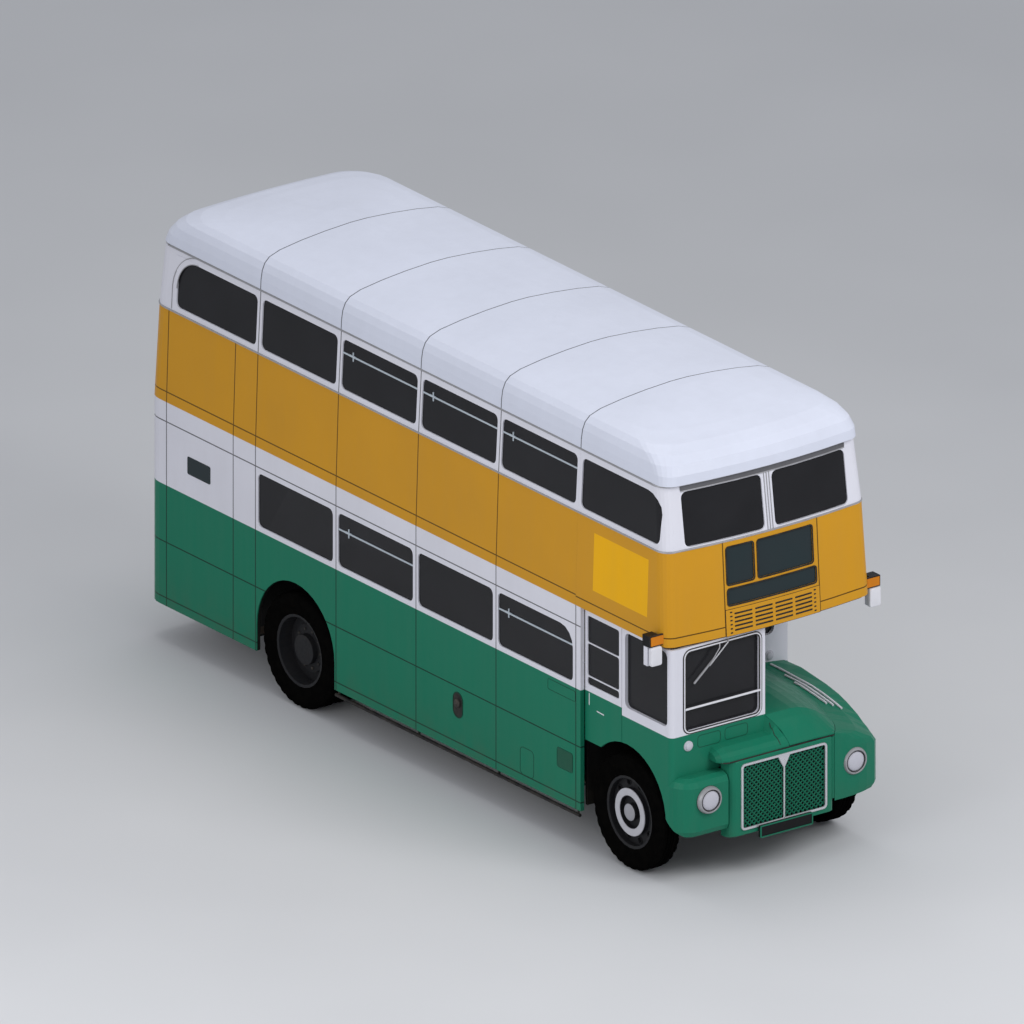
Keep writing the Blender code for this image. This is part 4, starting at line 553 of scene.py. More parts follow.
def pipe(points, radius, closed=False, sides=2):
    """A round bar along points, drawn as a curve with a round section and made a mesh."""
    curve = bpy.data.curves.new("pipe", "CURVE")
    curve.dimensions = "3D"
    curve.bevel_depth, curve.bevel_resolution, curve.use_fill_caps = radius, sides, not closed
    line = curve.splines.new("POLY")
    line.points.add(len(points) - 1)
    for target, point in zip(line.points, points):
        target.co = (*point, 1)
    line.use_cyclic_u = closed
    obj = bpy.data.objects.new("pipe", curve)
    bpy.context.scene.collection.objects.link(obj)
    alone(obj)
    bpy.ops.object.convert(target="MESH")
    return bpy.context.object


def spun(profile, centre, axis, steps=48):
    """A turned piece: a profile of (radius, offset) points spun about an axis through centre."""
    direction, point = TURNING[axis]
    mesh = bpy.data.meshes.new("profile")
    mesh.from_pydata([point(r, o) for r, o in profile], [(k, k + 1) for k in range(len(profile) - 1)], [])
    obj = bpy.data.objects.new("turned", mesh)
    bpy.context.scene.collection.objects.link(obj)
    with editing(obj):
        bpy.ops.mesh.spin(steps=steps, angle=2 * math.pi, center=(0, 0, 0), axis=direction)
        bpy.ops.mesh.select_all(action="SELECT")
        bpy.ops.mesh.remove_doubles(threshold=0.0001)
    return moved(obj, *centre)


print("bench tools ready")

# %% [markdown]
# ## Window rails
# Some saloon windows have a sliding or winding top light. Its lower rail crosses the pane, with a small
# cross-shaped winder near the rear end. The rails stand just outside the glass, inside the opening.

# %% Window rails
RAIL_R, WINDER_AT, WINDER_HALF = 0.009, 0.16, 0.045
rails = []
for side in SIDES.values():
    for z, bays in ((2.035, (1, 3)), (3.82, (1, 2, 3))):
        x = side * (level(z, HALF) - RAIL_R)
        for bay in bays:
            rear, front = BAY_REAR + BAY * bay + PILLAR / 2, BAY_REAR + BAY * (bay + 1) - PILLAR / 2
            rails.append(pipe([(x, station(f), z) for f in (rear + 0.005, front - 0.005)], RAIL_R))
            knob, inner, outer = station(rear + WINDER_AT), x - side * 0.002, x + side * 0.004
            rails.append(pipe([(inner, knob, z + up) for up in (-WINDER_HALF, WINDER_HALF)], 0.008))
            rails.append(pipe([(outer, knob - f, z + 0.004) for f in (-WINDER_HALF, WINDER_HALF)], 0.011))
settled(rails, "window_rails", "pale_rail")

# %% [markdown]
# ## Mouldings
# Half-round strips cover the joints where one colour meets another, and a drip rail keeps rain off the upper
# windows. Each is a thin bar that runs along the side and round the ends.

# %% Mouldings
LIFT = 0.002  # how far a moulding's middle stands off the skin


def side_run(side, z, *stations):
    return [(side * (level(z, HALF) + LIFT), station(f), z) for f in stations]


def end_run(z, front=True, count=33):
    """Points round an end of the body at one height, from the -X side to the +X side."""
    half = level(z, HALF)
    points = []
    for k in range(count):
        x = math.sin((k / (count - 1) - 0.5) * math.pi) * (half + LIFT)
        y = end_y(max(-half, min(half, x)), z, front) - (LIFT if front else -LIFT)
        points.append((x, y, z))
    return points


strips = []
for z, radius in ((WAIST_Z + 0.012, 0.009), (EAVES_Z - 0.012, 0.011)):
    around = end_run(z) + side_run(1, z, 5.6, -2.1) + end_run(z, False)[::-1] + side_run(-1, z, -2.1, 5.6)
    strips.append(pipe(around, radius, closed=True))
settled(strips, "mouldings", "grey_moulding")

# %% Corner of the rearmost upper windows and post behind the cab door
CORNER_F, CORNER_Z, CORNER_R = -1.94, 3.965, 0.32
ARCH_FOOT_Z = 3.42


def on_side(side, f, z):
    return (side * (level(z, HALF) + LIFT), station(f), z)


def quarter(side, f, z, radius):
    """A quarter circle on a side's skin, from its rear up to its top, about a station and height."""
    turns = [math.radians(180 - 90 * k / 16) for k in range(17)]
    return [on_side(side, f + radius * math.cos(turn), z + radius * math.sin(turn)) for turn in turns]


webs, arcs = [], []
for side in SIDES.values():
    def web_point(x, y, _):
        """The web's lower edge follows the window's round corner, and its upper edge is straight."""
        across = (x + 0.5) * CORNER_R
        drop = CORNER_R - math.sqrt(max(0.0, CORNER_R ** 2 - (CORNER_R - across) ** 2))
        overlap = 0.014 if across < 0.001 else 0
        return on_side(side, CORNER_F + across - overlap, CORNER_Z + (0.012 if y > 0 else -drop))

    bpy.ops.mesh.primitive_grid_add(x_subdivisions=16, y_subdivisions=1, size=1)
    webs.append(applied(laid(bpy.context.object, web_point), "SOLIDIFY", thickness=0.003, offset=0))
    arcs.append(pipe(quarter(side, CORNER_F + CORNER_R, CORNER_Z - CORNER_R, CORNER_R), 0.005))
    foot = on_side(side, CORNER_F - 0.07, ARCH_FOOT_Z)
    arcs.append(pipe([foot] + quarter(side, CORNER_F + 0.335, CORNER_Z - 0.34, 0.405), 0.005))
settled(webs, "window_corner_webs", "side_paint", angle=20)
settled(arcs, "window_corner_beads", "grey_moulding")
post = moved(plate(0.041, 0.835, 0.004, 0.003), -1.197, station(4.53) - 0.0005, 2.038)
settled(post, "saloon_corner_post", "white_enamel")
print("corner webs:", len(webs))

# %% [markdown]
# ## Upper front
# The destination boxes are glazed boxes with a black rubber frame each. Under them a panel of pressed slots
# lets air to the heater. The slots are modelled as short dark bars laid on the panel, in groups of five, and
# their black is painted shade inside the slots.

# %% Destination frames and vent panel
SCREENS = ((-0.52, -0.21, 2.96, 3.335), (-0.165, 0.49, 2.96, 3.335), (-0.52, 0.52, 2.755, 2.918))
gaskets, panes = [], []
for x0, x1, z0, z1 in SCREENS:
    x, z, wide, high = (x0 + x1) / 2, (z0 + z1) / 2, x1 - x0, z1 - z0
    gaskets.append(lay_on_front(plate(wide + 0.02, high + 0.02, 0.035, 0.004, rim=0.014, slices=8), x, z))
    panes.append(lay_on_front(plate(wide - 0.004, high - 0.004, 0.024, 0.003, slices=8), x, z, -0.012))
settled(gaskets, "destination_frames", "black_steel")
settled(panes, "destination_glass", "blind_glass")

VENT_W, VENT_H, VENT_Z, SLOT_PITCH, SLOT_T = 1.1, 0.26, 2.585, 0.041, 0.0045
vent = lay_on_front(plate(VENT_W, VENT_H, 0.004, 0.003, slices=10), 0, VENT_Z)
settled(vent, "vent_panel", "orange_paint")
slots = [lay_on_front(plate(VENT_W + 0.008, VENT_H + 0.008, 0.004, 0.002, rim=0.005, slices=10), 0, VENT_Z)]
# Each slot is a black bar: painted shade inside the slot.
for k in range(4):
    for row in range(5):
        slot = plate(0.205, 0.017, 0.008, SLOT_T)
        slots.append(lay_on_front(slot, -0.354 + 0.236 * k, 2.503 + SLOT_PITCH * row))
for x in (-0.492, 0.492):
    for row in range(6):
        slots.append(lay_on_front(plate(0.026, 0.014, 0.006, SLOT_T), x, 2.482 + SLOT_PITCH * row))
settled(slots, "vent_slots", "black_steel")
print("vent slots:", len(slots) - 1)

# %% Air intake over the front windows, dark grey as its painted shade, and the ribbed pillar between them
# The intake is a slot under the brow; its plate is dark grey as painted shade of the recess.
brow = lay_on_front(plate(1.93, 0.062, 0.02, 0.006, slices=24), 0, 4.0, 0.001)
settled(brow, "front_air_intake_painted_shade", "shade_grey")
lip_x = [-0.96 + 0.08 * k for k in range(25)]
lips = [pipe([(x, end_y(x, z) - 0.006, z) for x in lip_x], 0.006) for z in (3.972, 4.027)]
settled(lips, "air_intake_lips", "grey_moulding")
rib_z = [3.41 + 0.07 * k for k in range(9)]
ribs = [pipe([(x, end_y(x, z) - 0.001, z) for z in rib_z], 0.005) for x in (-0.03, 0.0, 0.03)]
settled(ribs, "front_pillar_ribs", "grey_moulding")
print("upper front trims ready")

# %% [markdown]
# ## Cab front
# The windscreen opens at its top half, so it has a heavy double frame and a bar across. The frame is drawn as
# two thin lines with white metal between. One wiper hangs from the top.

# %% Windscreen and wiper
SCREEN_X, SCREEN_Z, SCREEN_Y = (-1.0, -0.125), (1.57, 2.38), station(CAB_FRONT)
BAR_Z = 1.80
WIPER = (  # each bar's radius, then its points: x, distance off the screen and height
    (0.0075, (-0.5, 0.008, 2.404), (-0.52, 0.03, 2.387), (-0.74, 0.034, 2.198)),
    (0.0055, (-0.6, 0.008, 2.385), (-0.615, 0.026, 2.35), (-0.74, 0.032, 2.198)),
    (0.0105, (-0.66, 0.02, 2.268), (-0.909, 0.017, 2.052)),
)


def surround(margin, radius, depth, rim):
    """A ring round the windscreen, larger than its opening by a margin."""
    wide, high = SCREEN_X[1] - SCREEN_X[0] + margin, SCREEN_Z[1] - SCREEN_Z[0] + margin
    return moved(plate(wide, high, radius, depth, rim), sum(SCREEN_X) / 2, SCREEN_Y, sum(SCREEN_Z) / 2)


lines = [surround(0.056, 0.088, 0.004, 0.009), surround(0.004, 0.062, 0.006, 0.009)]
settled(lines, "windscreen_rubber", "black_steel")
rim = surround(0.034, 0.077, 0.008, 0.012)
bar = pipe([(x, SCREEN_Y - 0.004, BAR_Z) for x in (SCREEN_X[0] - 0.002, SCREEN_X[1] + 0.002)], 0.011)
settled([rim, bar], "windscreen_frame", "white_enamel")
bars = [pipe([(x, SCREEN_Y - off, z) for x, off, z in points], radius) for radius, *points in WIPER]
settled(bars, "wiper", "grey_moulding")
print("windscreen ready")

# %% [markdown]
# ## Lamps
# A headlamp is a plated bezel, a dark rubber ring and a bowed lens. The side lamps are small domes. They are
# turned pieces, so each is a profile spun round its axis.

# %% Headlamps and side lamps
LAMP_X, LAMP_Z, LAMP_Y = 0.854, 0.91, station(6.062)
BEZEL = [(0.0, -0.03), (0.106, -0.03), (0.107, -0.05), (0.113, -0.058), (0.124, -0.055), (0.134, -0.04),
         (0.137, -0.02), (0.137, 0.0), (0.0, 0.0)]
LENS = [(0.0, -0.064), (0.03, -0.063), (0.06, -0.059), (0.085, -0.052), (0.096, -0.045), (0.099, -0.032),
        (0.0, -0.032)]
DOME = [(0.0, -0.034), (0.02, -0.032), (0.036, -0.025), (0.041, -0.012), (0.05, -0.01), (0.052, 0.0),
        (0.0, 0.0)]
for name, side in SIDES.items():
    centre = (side * LAMP_X, LAMP_Y, LAMP_Z)
    bezel = settled(spun(BEZEL, centre, "Y"), f"headlamp_bezel_{name}", "grey_moulding")
    settled(spun(LENS, centre, "Y"), f"headlamp_lens_{name}", "lamp_lens")
    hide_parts(f"headlamp_{name}")
rings = []
for side in SIDES.values():
    for radius, out in ((0.1035, 0.053), (0.137, 0.012)):
        circle = [(side * LAMP_X + a, LAMP_Y - out, LAMP_Z + b) for a, b in ring(radius, 48)]
        rings.append(pipe(circle, 0.003, closed=True))
settled(rings, "headlamp_lines", "black_steel")
domes = [spun(DOME, place, "Y", 32) for place in ((-0.966, SCREEN_Y, 1.426), (1.0, station(4.53), 1.452))]
settled(domes, "side_lamps", "lamp_lens")
print("lamps ready")

# %% [markdown]
# ## Radiator grille
# Behind a plated frame the grille is a fine lattice of green bars. A plain plated bar runs down its middle
# and flares at the top. The real mesh is woven from strip, so here each way of bars lies on the other.

# %% Grille
GRILLE_HALF, GRILLE_LOW_Z, GRILLE_HIGH_Z, GRILLE_Y = 0.505, 0.52, 1.195, station(6.115)
MESH_PITCH, MESH_BAR = 0.052, 0.016
wide, high = 2 * GRILLE_HALF, GRILLE_HIGH_Z - GRILLE_LOW_Z
mid = (GRILLE_LOW_Z + GRILLE_HIGH_Z) / 2
frame_bar = moved(plate(wide, high, 0.045, 0.018, rim=0.024), 0, GRILLE_Y + 0.004, mid)
applied(frame_bar, "BEVEL", width=0.005, segments=2)
trim_y = GRILLE_Y - 0.006
centre_bar = pipe([(0, trim_y, GRILLE_LOW_Z + 0.012), (0, trim_y, GRILLE_HIGH_Z - 0.02)], 0.0095)
bpy.ops.mesh.primitive_cone_add(vertices=3, radius1=0.1, radius2=0.086, depth=0.014)
flare = bpy.context.object
flare.rotation_euler, flare.location = (math.pi / 2, math.pi, 0), (0, trim_y, GRILLE_HIGH_Z - 0.062)
flare.scale = (0.92, 1, 1)
applied(flare, "BEVEL", width=0.004, segments=2)
grille_trim = joined([frame_bar, centre_bar, flare])
settled(grille_trim, "grille_frame", "bright_trim")
reach_x, reach_z = GRILLE_HALF - 0.02, high / 2 - 0.02
bars = []
for k in range(1, int((2 * reach_x + 2 * reach_z) / MESH_PITCH)):
    across = k * MESH_PITCH
    start = (-reach_x + max(0.0, across - 2 * reach_z), -reach_z + min(across, 2 * reach_z))
    end = (-reach_x + min(across, 2 * reach_x), -reach_z + max(0.0, across - 2 * reach_x))
    if math.dist(start, end) < 2 * MESH_BAR:
        continue
    for sign, y in ((1, GRILLE_Y + 0.012), (-1, GRILLE_Y + 0.018)):
        bars.append(pipe([(sign * x, y, mid + z) for x, z in (start, end)], MESH_BAR / 2, sides=0))
settled(bars, "grille_lattice", "mesh_paint")
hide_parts("radiator_grille")
backing = moved(plate(wide - 0.01, high - 0.01, 0.04, 0.002), 0, GRILLE_Y + 0.045, mid)
settled(backing, "grille_shadow", "plate_black")
print("lattice bars:", len(bars))

# %% [markdown]
# ## Bonnet trims, plate and handles
# Three white strips run down the nearside of the bonnet, each shorter than the last. The number plate is a
# blank black plate in a green edge. The cab door has a small white handle and a grab bar.

# %% Small fittings
TRIMS = ((4.62, 0.955, 5.66, 1.02), (4.9, 0.915, 5.6, 0.965), (5.1, 0.88, 5.56, 0.915))  # from f, x to f, x
HANDLE_X, DOOR_F = -CAB_X + 0.008, 4.825
DOOR_BARS = (1.68, 1.77, 2.11, 2.39)


def drop_on(nodes_under, x, y, lift):
    """Height of the highest of some frame parts under a point, plus a lift."""
    best = 0.0
    for node in nodes_under:
        hit, place, _, _ = node.ray_cast(Vector((x, y, 3.0)), Vector((0, 0, -1)))
        if hit:
            best = max(best, place.z)
    return best + lift


trims = []
for f0, x0, f1, x1 in TRIMS:
    line = []
    for k in range(13):
        x, y = x0 + (x1 - x0) * k / 12, station(f0 + (f1 - f0) * k / 12)
        line.append((x, y, drop_on([nodes["bonnet"], nodes["wing_left"]], x, y, 0.009)))
    trims.append(pipe(line, 0.0115))
settled(trims, "bonnet_trims", "white_enamel")
plate_edge = moved(plate(0.616, 0.121, 0.008, 0.01, rim=0.011), 0, station(FRONT_END) + 0.004, 0.4775)
settled(plate_edge, "number_plate_edge", "green_paint")

handles = []
for ends in (((4.722, 1.452), (4.835, 1.447)), ((4.6, 1.6), (4.6, 1.48))):
    handles.append(pipe([(HANDLE_X, station(f), z) for f, z in ends], 0.0105))
settled(handles, "cab_door_handles", "white_enamel", "cab_door")
panes = []
for low, high in zip(DOOR_BARS, DOOR_BARS[1:]):
    def pane_point(along, depth, up):
        return (-CAB_X + 0.012 + depth, station(DOOR_F) - along, (low + high) / 2 + up)

    panes.append(laid(plate(0.494, high - low - 0.014, 0.023, 0.003), pane_point))
settled(panes, "cab_door_glass", "window_glass", "cab_door")

seam = []
for k in range(15):
    x, y = -0.046 + 0.022 * k / 14, station(CAB_FRONT + 0.004 + 0.19 * k / 14)
    height = drop_on([nodes["grille_shell"]], x, y, 0.0005)
    if height > 1.0:
        seam.append((x, y, height))
LIP = [(-0.7, 6.0, 1.236), (-0.69, 6.06, 1.236), (-0.66, 6.093, 1.2365), (-0.6, 6.101, 1.2365)]
LIP += [(0.1 * k, 6.103, 1.2365) for k in range(-5, 7)]
lip = pipe([(x, station(f), z) for x, f, z in LIP], 0.007)
settled([pipe(seam, 0.0035), lip], "bonnet_seams", "black_steel")
outlines = [moved(plate(0.27, 0.125, 0.035, 0.0015, rim=0.004), x, SCREEN_Y, z)
            for x, z in ((-0.72, 1.44), (-0.4, 1.445))]
settled(outlines, "scuttle_outlines", "seam_green")
bead = pipe([(0.606, station(6.062), z) for z in (0.59, 1.225)], 0.034, sides=4)
settled(bead, "wing_bead", "green_paint")
print("fittings ready")

# %% [markdown]
# ## Side fittings
# The offside carries the fuel filler in a round-ended slot, a hatch and a flap with rounded corners, and a
# safety rail under the skirt that keeps people from the rear wheel.

# %% Side fittings
FILLER_F, FILLER_Z, HATCH_F, HATCH_Z = 2.583, 0.85, 4.283, 0.83
filler_rim = lay_on_side(plate(0.16, 0.265, 0.079, 0.004, rim=0.012), FILLER_F, FILLER_Z)
filler_well = lay_on_side(plate(0.136, 0.24, 0.067, 0.002), FILLER_F, FILLER_Z)
settled(filler_rim, "filler_rim", "seam_green")
settled(filler_well, "filler_well", "black_steel")
CAP_OUTLINE = [(0.0, -0.022), (0.03, -0.02), (0.042, -0.014), (0.045, 0.0), (0.0, 0.0)]
cap = spun(CAP_OUTLINE, (-1.2225, station(FILLER_F), FILLER_Z + 0.02), "X", 32)
settled(cap, "filler_cap", "chassis_steel")
outlines = [lay_on_side(plate(0.22, 0.283, 0.05, 0.0015, rim=0.005), 3.68, 0.612),
            lay_on_side(plate(0.254, 0.204, 0.03, 0.002, rim=0.005), HATCH_F, HATCH_Z),
            lay_on_side(plate(0.44, 0.11, 0.02, 0.0015, rim=0.004), 4.23, 1.525)]
settled(outlines, "panel_outlines", "seam_green")
settled(lay_on_side(plate(0.236, 0.186, 0.024, 0.0012), HATCH_F, HATCH_Z), "side_hatch", "dark_green")
settled(lay_on_side(plate(0.365, 0.18, 0.02, 0.003), -1.533, 1.93), "side_box", "blind_glass")
rail = [pipe([(-1.2, station(f), 0.33) for f in (0.62, 4.5)], 0.018)]
rail += [pipe([(-1.19, station(f), z) for z in (0.34, 0.42)], 0.012) for f in (0.66, 1.93, 3.2, 4.46)]
settled(rail, "safety_rail", "black_steel")
print("side fittings ready")

# %% [markdown]
# ## Indicators and mirrors
# Each front corner carries an arm with a boxed amber indicator and a white-backed mirror under it. The arm
# and box are the frame's own, and the case, the lens and the mirror's back are fitted to them.

# %% Indicators and mirrors
INDICATOR_X, INDICATOR_Y, INDICATOR_Z = 1.272, station(5.802), 2.542
for name, side in SIDES.items():
    case = moved(plate(0.17, 0.112, 0.006, 0.016), side * INDICATOR_X, INDICATOR_Y, INDICATOR_Z)
    settled(case, f"indicator_case_{name}", "black_steel")
    lens = moved(plate(0.146, 0.088, 0.004, 0.006), side * INDICATOR_X, INDICATOR_Y - 0.0155, INDICATOR_Z)
    settled(lens, f"indicator_lens_{name}", "amber_lens")
    head = moved(plate(0.13, 0.19, 0.022, 0.05), side * 1.288, station(5.79), 2.388)
    settled(applied(head, "BEVEL", width=0.012, segments=3), f"mirror_back_{name}", "white_enamel")
print("indicators ready")

# %% [markdown]
# ## Wheels
# A disc wheel of this kind has a ring that guards its nuts and serves as a step, painted white, and a pressed
# hub cap, with hand holes further out. The tyre's tread is cut by grooves that run round it and by notches
# across its shoulders. Each tyre is turned from one outline, and then its shoulders are notched.

# %% Tyres
TREAD_STEPS, GROOVE_DEPTH, NOTCH_DEPTH = 96, 0.011, 0.012
SIDE_OUTLINE = [(RIM_R, 0.77), (RIM_R + 0.012, 0.86), (RIM_R + 0.03, 0.9), (RIM_R + 0.036, 0.93),
                (RIM_R + 0.1, 1.0), (TYRE_R - 0.06, 0.96), (TYRE_R - 0.045, 0.94), (TYRE_R - 0.03, 0.9),
                (TYRE_R - 0.008, 0.8), (TYRE_R, 0.68)]
GROOVES = ((0.5, 0.42), (0.16, 0.08))
WHEELS = {
    "tyre_front_right": "front_wheel_right", "tyre_front_left": "front_wheel_left",
    "tyre_rear_right_outer": "rear_wheels_right", "tyre_rear_right_inner": "rear_wheels_right",
    "tyre_rear_left_outer": "rear_wheels_left", "tyre_rear_left_inner": "rear_wheels_left",
}
half_w = TYRE_W / 2
half = [(r, w * half_w) for r, w in SIDE_OUTLINE]
for outer, inner in GROOVES:
    half += [(TYRE_R, outer * half_w + 0.003), (TYRE_R - GROOVE_DEPTH, outer * half_w),
             (TYRE_R - GROOVE_DEPTH, inner * half_w), (TYRE_R, inner * half_w - 0.003)]
outline = half + [(r, -w) for r, w in reversed(half)] + half[:1]


def notched(x, y, z):
    """Every third point round a shoulder sinks towards the axle."""
    radius = math.hypot(y, z)
    step = round(math.atan2(z, y) / (2 * math.pi) * TREAD_STEPS) % 3
    sunk = radius > TYRE_R - 0.033 and abs(x) > 0.62 * half_w and step == 0
    share = 1 - NOTCH_DEPTH / radius if sunk else 1
    return (x, y * share, z * share)


for name, body in WHEELS.items():
    low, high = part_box(name)
    tyre = laid(spun(outline, (0, 0, 0), "X", TREAD_STEPS), notched)
    moved(tyre, *[(a + b) / 2 for a, b in zip(low, high)])
    settled(tyre, name + "_tread", "tyre_rubber", body, 25)
    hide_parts(name)
print("tyres:", len(WHEELS), "of", len(tyre.data.polygons), "faces")

# %% Nut guards, hub caps, black rims round the hand holes as their painted shade, and nuts
GUARD = [(0.163, 0.0), (0.163, 0.007), (0.168, 0.011), (0.199, 0.013), (0.23, 0.011), (0.235, 0.007),
         (0.235, 0.0), (0.163, 0.0)]
CAP = [(0.0, 0.016), (0.03, 0.015), (0.06, 0.012), (0.078, 0.006), (0.084, 0.0), (0.0, 0.0)]
HOLES, HOLES_AT, HOLE_R, NUTS_AT, NUT_X = 10, 0.284, 0.0295, 0.19, 1.0545
for name, side in SIDES.items():
    body = f"front_wheel_{name}"
    low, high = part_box(f"wheel_front_{name}")
    outer = max(abs(low[0]), abs(high[0]))
    y, z = station(WHEELBASE), TYRE_R
    guard = spun([(r, side * o) for r, o in GUARD], (side * (outer - 0.0175), y, z), "X", 64)
    settled(guard, f"nut_guard_{name}", "guard_enamel", body)
    cap = spun([(r, side * o) for r, o in CAP], (side * (outer - 0.006), y, z), "X", 48)
    settled(cap, f"hub_cap_{name}", "hub_enamel", body)
    # Pressed rims round the hand holes, black so that they also widen the holes' dark: painted shade.
    shaded_rims = []
    for hole_y, hole_z in ring(HOLES_AT, HOLES):
        circle = [(side * (outer - 0.0645), y + hole_y + a, z + hole_z + b) for a, b in ring(HOLE_R, 16)]
        shaded_rims.append(pipe(circle, 0.0055, closed=True))
    settled(shaded_rims, f"hand_hole_rims_painted_shade_{name}", "plate_black", body)
    nuts = []
    for nut_y, nut_z in ring(NUTS_AT, HOLES):
        place = (side * NUT_X, station(0) + nut_y, TYRE_R + nut_z)
        bpy.ops.mesh.primitive_cylinder_add(vertices=6, radius=0.016, depth=0.03, location=place,
                                            rotation=(0, math.pi / 2, 0))
        nuts.append(applied(bpy.context.object, "BEVEL", width=0.003, segments=2))
    settled(nuts, f"wheel_nuts_{name}", "chassis_steel", f"rear_wheels_{name}")
print("wheel trims ready")

# %% [markdown]
# ## Seats
# A bench is a sprung cushion and back in patterned cloth on a frame of bent tube. Real upholstery is cut,
# sewn and stuffed, so its sides pull in between the corners. Here a pad is cut a little small, its skin is
# pressed outwards as cloth, and the piping is laid along the sewn edges. Every bench gets a copy.

# %% Upholstery tools
PAD_CAP, VOXEL, PRESSURE, CLOTH_FRAMES = 0.014, 0.02, 4.0, 20


def stuffed(obj):
    """Presses a pad's skin outwards as cloth, and limits how far each point goes."""
    applied(obj, "REMESH", mode="VOXEL", voxel_size=VOXEL)
    before = [v.co.copy() for v in obj.data.vertices]
    cloth = obj.modifiers.new("stuffing", "CLOTH")
    cloth.settings.use_pressure = True
    cloth.settings.uniform_pressure_force = PRESSURE
    cloth.settings.effector_weights.gravity = 0
    cloth.point_cache.frame_end = CLOTH_FRAMES
    for now in range(1, CLOTH_FRAMES + 1):
        bpy.context.scene.frame_set(now)
    bpy.ops.object.modifier_apply(modifier=cloth.name)
    bpy.context.scene.frame_set(1)
    for v, start in zip(obj.data.vertices, before):
        way = v.co - start
        if way.length > PAD_CAP:
            v.co = start + way * (PAD_CAP / way.length)
    return obj


def pad(name, width, depth, height, edge):
    """A block of stuffing with soft edges, stuffed."""
    bpy.ops.mesh.primitive_cube_add(size=1)
    obj = bpy.context.object
    obj.name = name
    obj.scale = (width, depth, height)
    bpy.ops.object.transform_apply(location=True, rotation=True, scale=True)
    with editing(obj):
        bpy.ops.mesh.bevel(offset=edge, segments=3, affect="EDGES")
    return stuffed(obj)


def piping(obj, path, radius=0.0045, closed=True):
    """A sewn cord on the nearest part of a pad's skin to each point of a path."""
    found = []
    for point in path:
        _, place, normal, _ = obj.closest_point_on_mesh(Vector(point))
        found.append(place + normal * radius * 0.4)
    return pipe(found, radius, closed=closed, sides=1)


def oval_path(width, depth, z, corner=0.06, steps=5):
    """A rounded rectangle of points at a height, in cyclic order."""
    path = []
    for sx, sy, start in ((1, 1, 0), (-1, 1, 90), (-1, -1, 180), (1, -1, 270)):
        for k in range(steps + 1):
            turn = math.radians(start + 90 * k / steps)
            path.append((sx * (width / 2 - corner) + corner * math.cos(turn),
                         sy * (depth / 2 - corner) + corner * math.sin(turn), z))
    return path


def copied(obj, x, y, z):
    twin = obj.copy()
    twin.data = obj.data.copy()
    bpy.context.scene.collection.objects.link(twin)
    return moved(twin, x, y, z)


BENCH_W, BENCH_D, BENCH_T, BACK_T, BACK_H, BENCH_PITCH = 0.86, 0.42, 0.11, 0.07, 0.62, 0.7
cushion = pad("cushion_pattern", BENCH_W - 0.02, BENCH_D - 0.03, BENCH_T - 0.025, 0.03)
cushion_cord = joined([piping(cushion, oval_path(BENCH_W - 0.03, BENCH_D - 0.04, BENCH_T * 0.42)),
                       piping(cushion, oval_path(BENCH_W - 0.03, BENCH_D - 0.04, -BENCH_T * 0.36)),
                       piping(cushion, [(0, 0.19 - 0.038 * k, 0.08) for k in range(11)], closed=False)])
backrest = pad("back_pattern", BENCH_W - 0.03, BACK_T - 0.022, BACK_H, 0.02)
back_oval = [(x, -0.1, z) for x, z, _ in oval_path(BENCH_W - 0.06, BACK_H - 0.03, 0)]
back_cord = joined([piping(backrest, back_oval),
                    piping(backrest, [(0, -0.1, 0.28 - 0.056 * k) for k in range(11)], closed=False)])
print("cushion:", len(cushion.data.polygons), "faces, back:", len(backrest.data.polygons))

# %% Benches
EDGE, LEG = BENCH_W / 2 - 0.012, BENCH_W / 2 - 0.07
RAILS = ((0.014, (0.27, 0), (0.27, 0.36)), (0.012, (0.39, 0.352), (0.02, 0.352)))
HOOP = ((-EDGE, 0.35), (-EDGE, 0.88), (0.05 - EDGE, 0.935), (EDGE - 0.05, 0.935), (EDGE, 0.88), (EDGE, 0.35))
for node in ("seats_lower_right", "seats_lower_left", "seats_upper_right", "seats_upper_left"):
    low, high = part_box(node)
    x, base = (low[0] + high[0]) / 2, low[2]
    cushions, backs, cords, tubes = [], [], [], []
    for k in range(round((high[1] - low[1] - BENCH_D) / BENCH_PITCH) + 1):
        y = high[1] - BENCH_PITCH * k
        seat_at, back_at = (x, y - BENCH_D / 2, base + 0.415), (x, y - BACK_T / 2, base + 0.625)
        cushions.append(copied(cushion, *seat_at))
        backs.append(copied(backrest, *back_at))
        cords += [copied(cushion_cord, *seat_at), copied(back_cord, *back_at)]
        for foot in (x - LEG, x + LEG):
            for radius, *ends in RAILS:
                tubes.append(pipe([(foot, y - behind, base + up) for behind, up in ends], radius, sides=1))
        tubes.append(pipe([(x + across, y - BACK_T / 2, base + up) for across, up in HOOP], 0.012, sides=1))
    for pieces, kind in ((cushions, "cushions"), (backs, "backs")):
        made = settled(pieces, node.replace("seats", kind), "seat_cloth", angle=60)
        if kind == "cushions":
            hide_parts(node)
    settled(cords, node.replace("seats", "seat_piping"), "piping")
    settled(tubes, node.replace("seats", "seat_frames"), "bright_trim")
for pattern in (cushion, cushion_cord, backrest, back_cord):
    bpy.data.objects.remove(pattern, do_unlink=True)
print("benches ready")

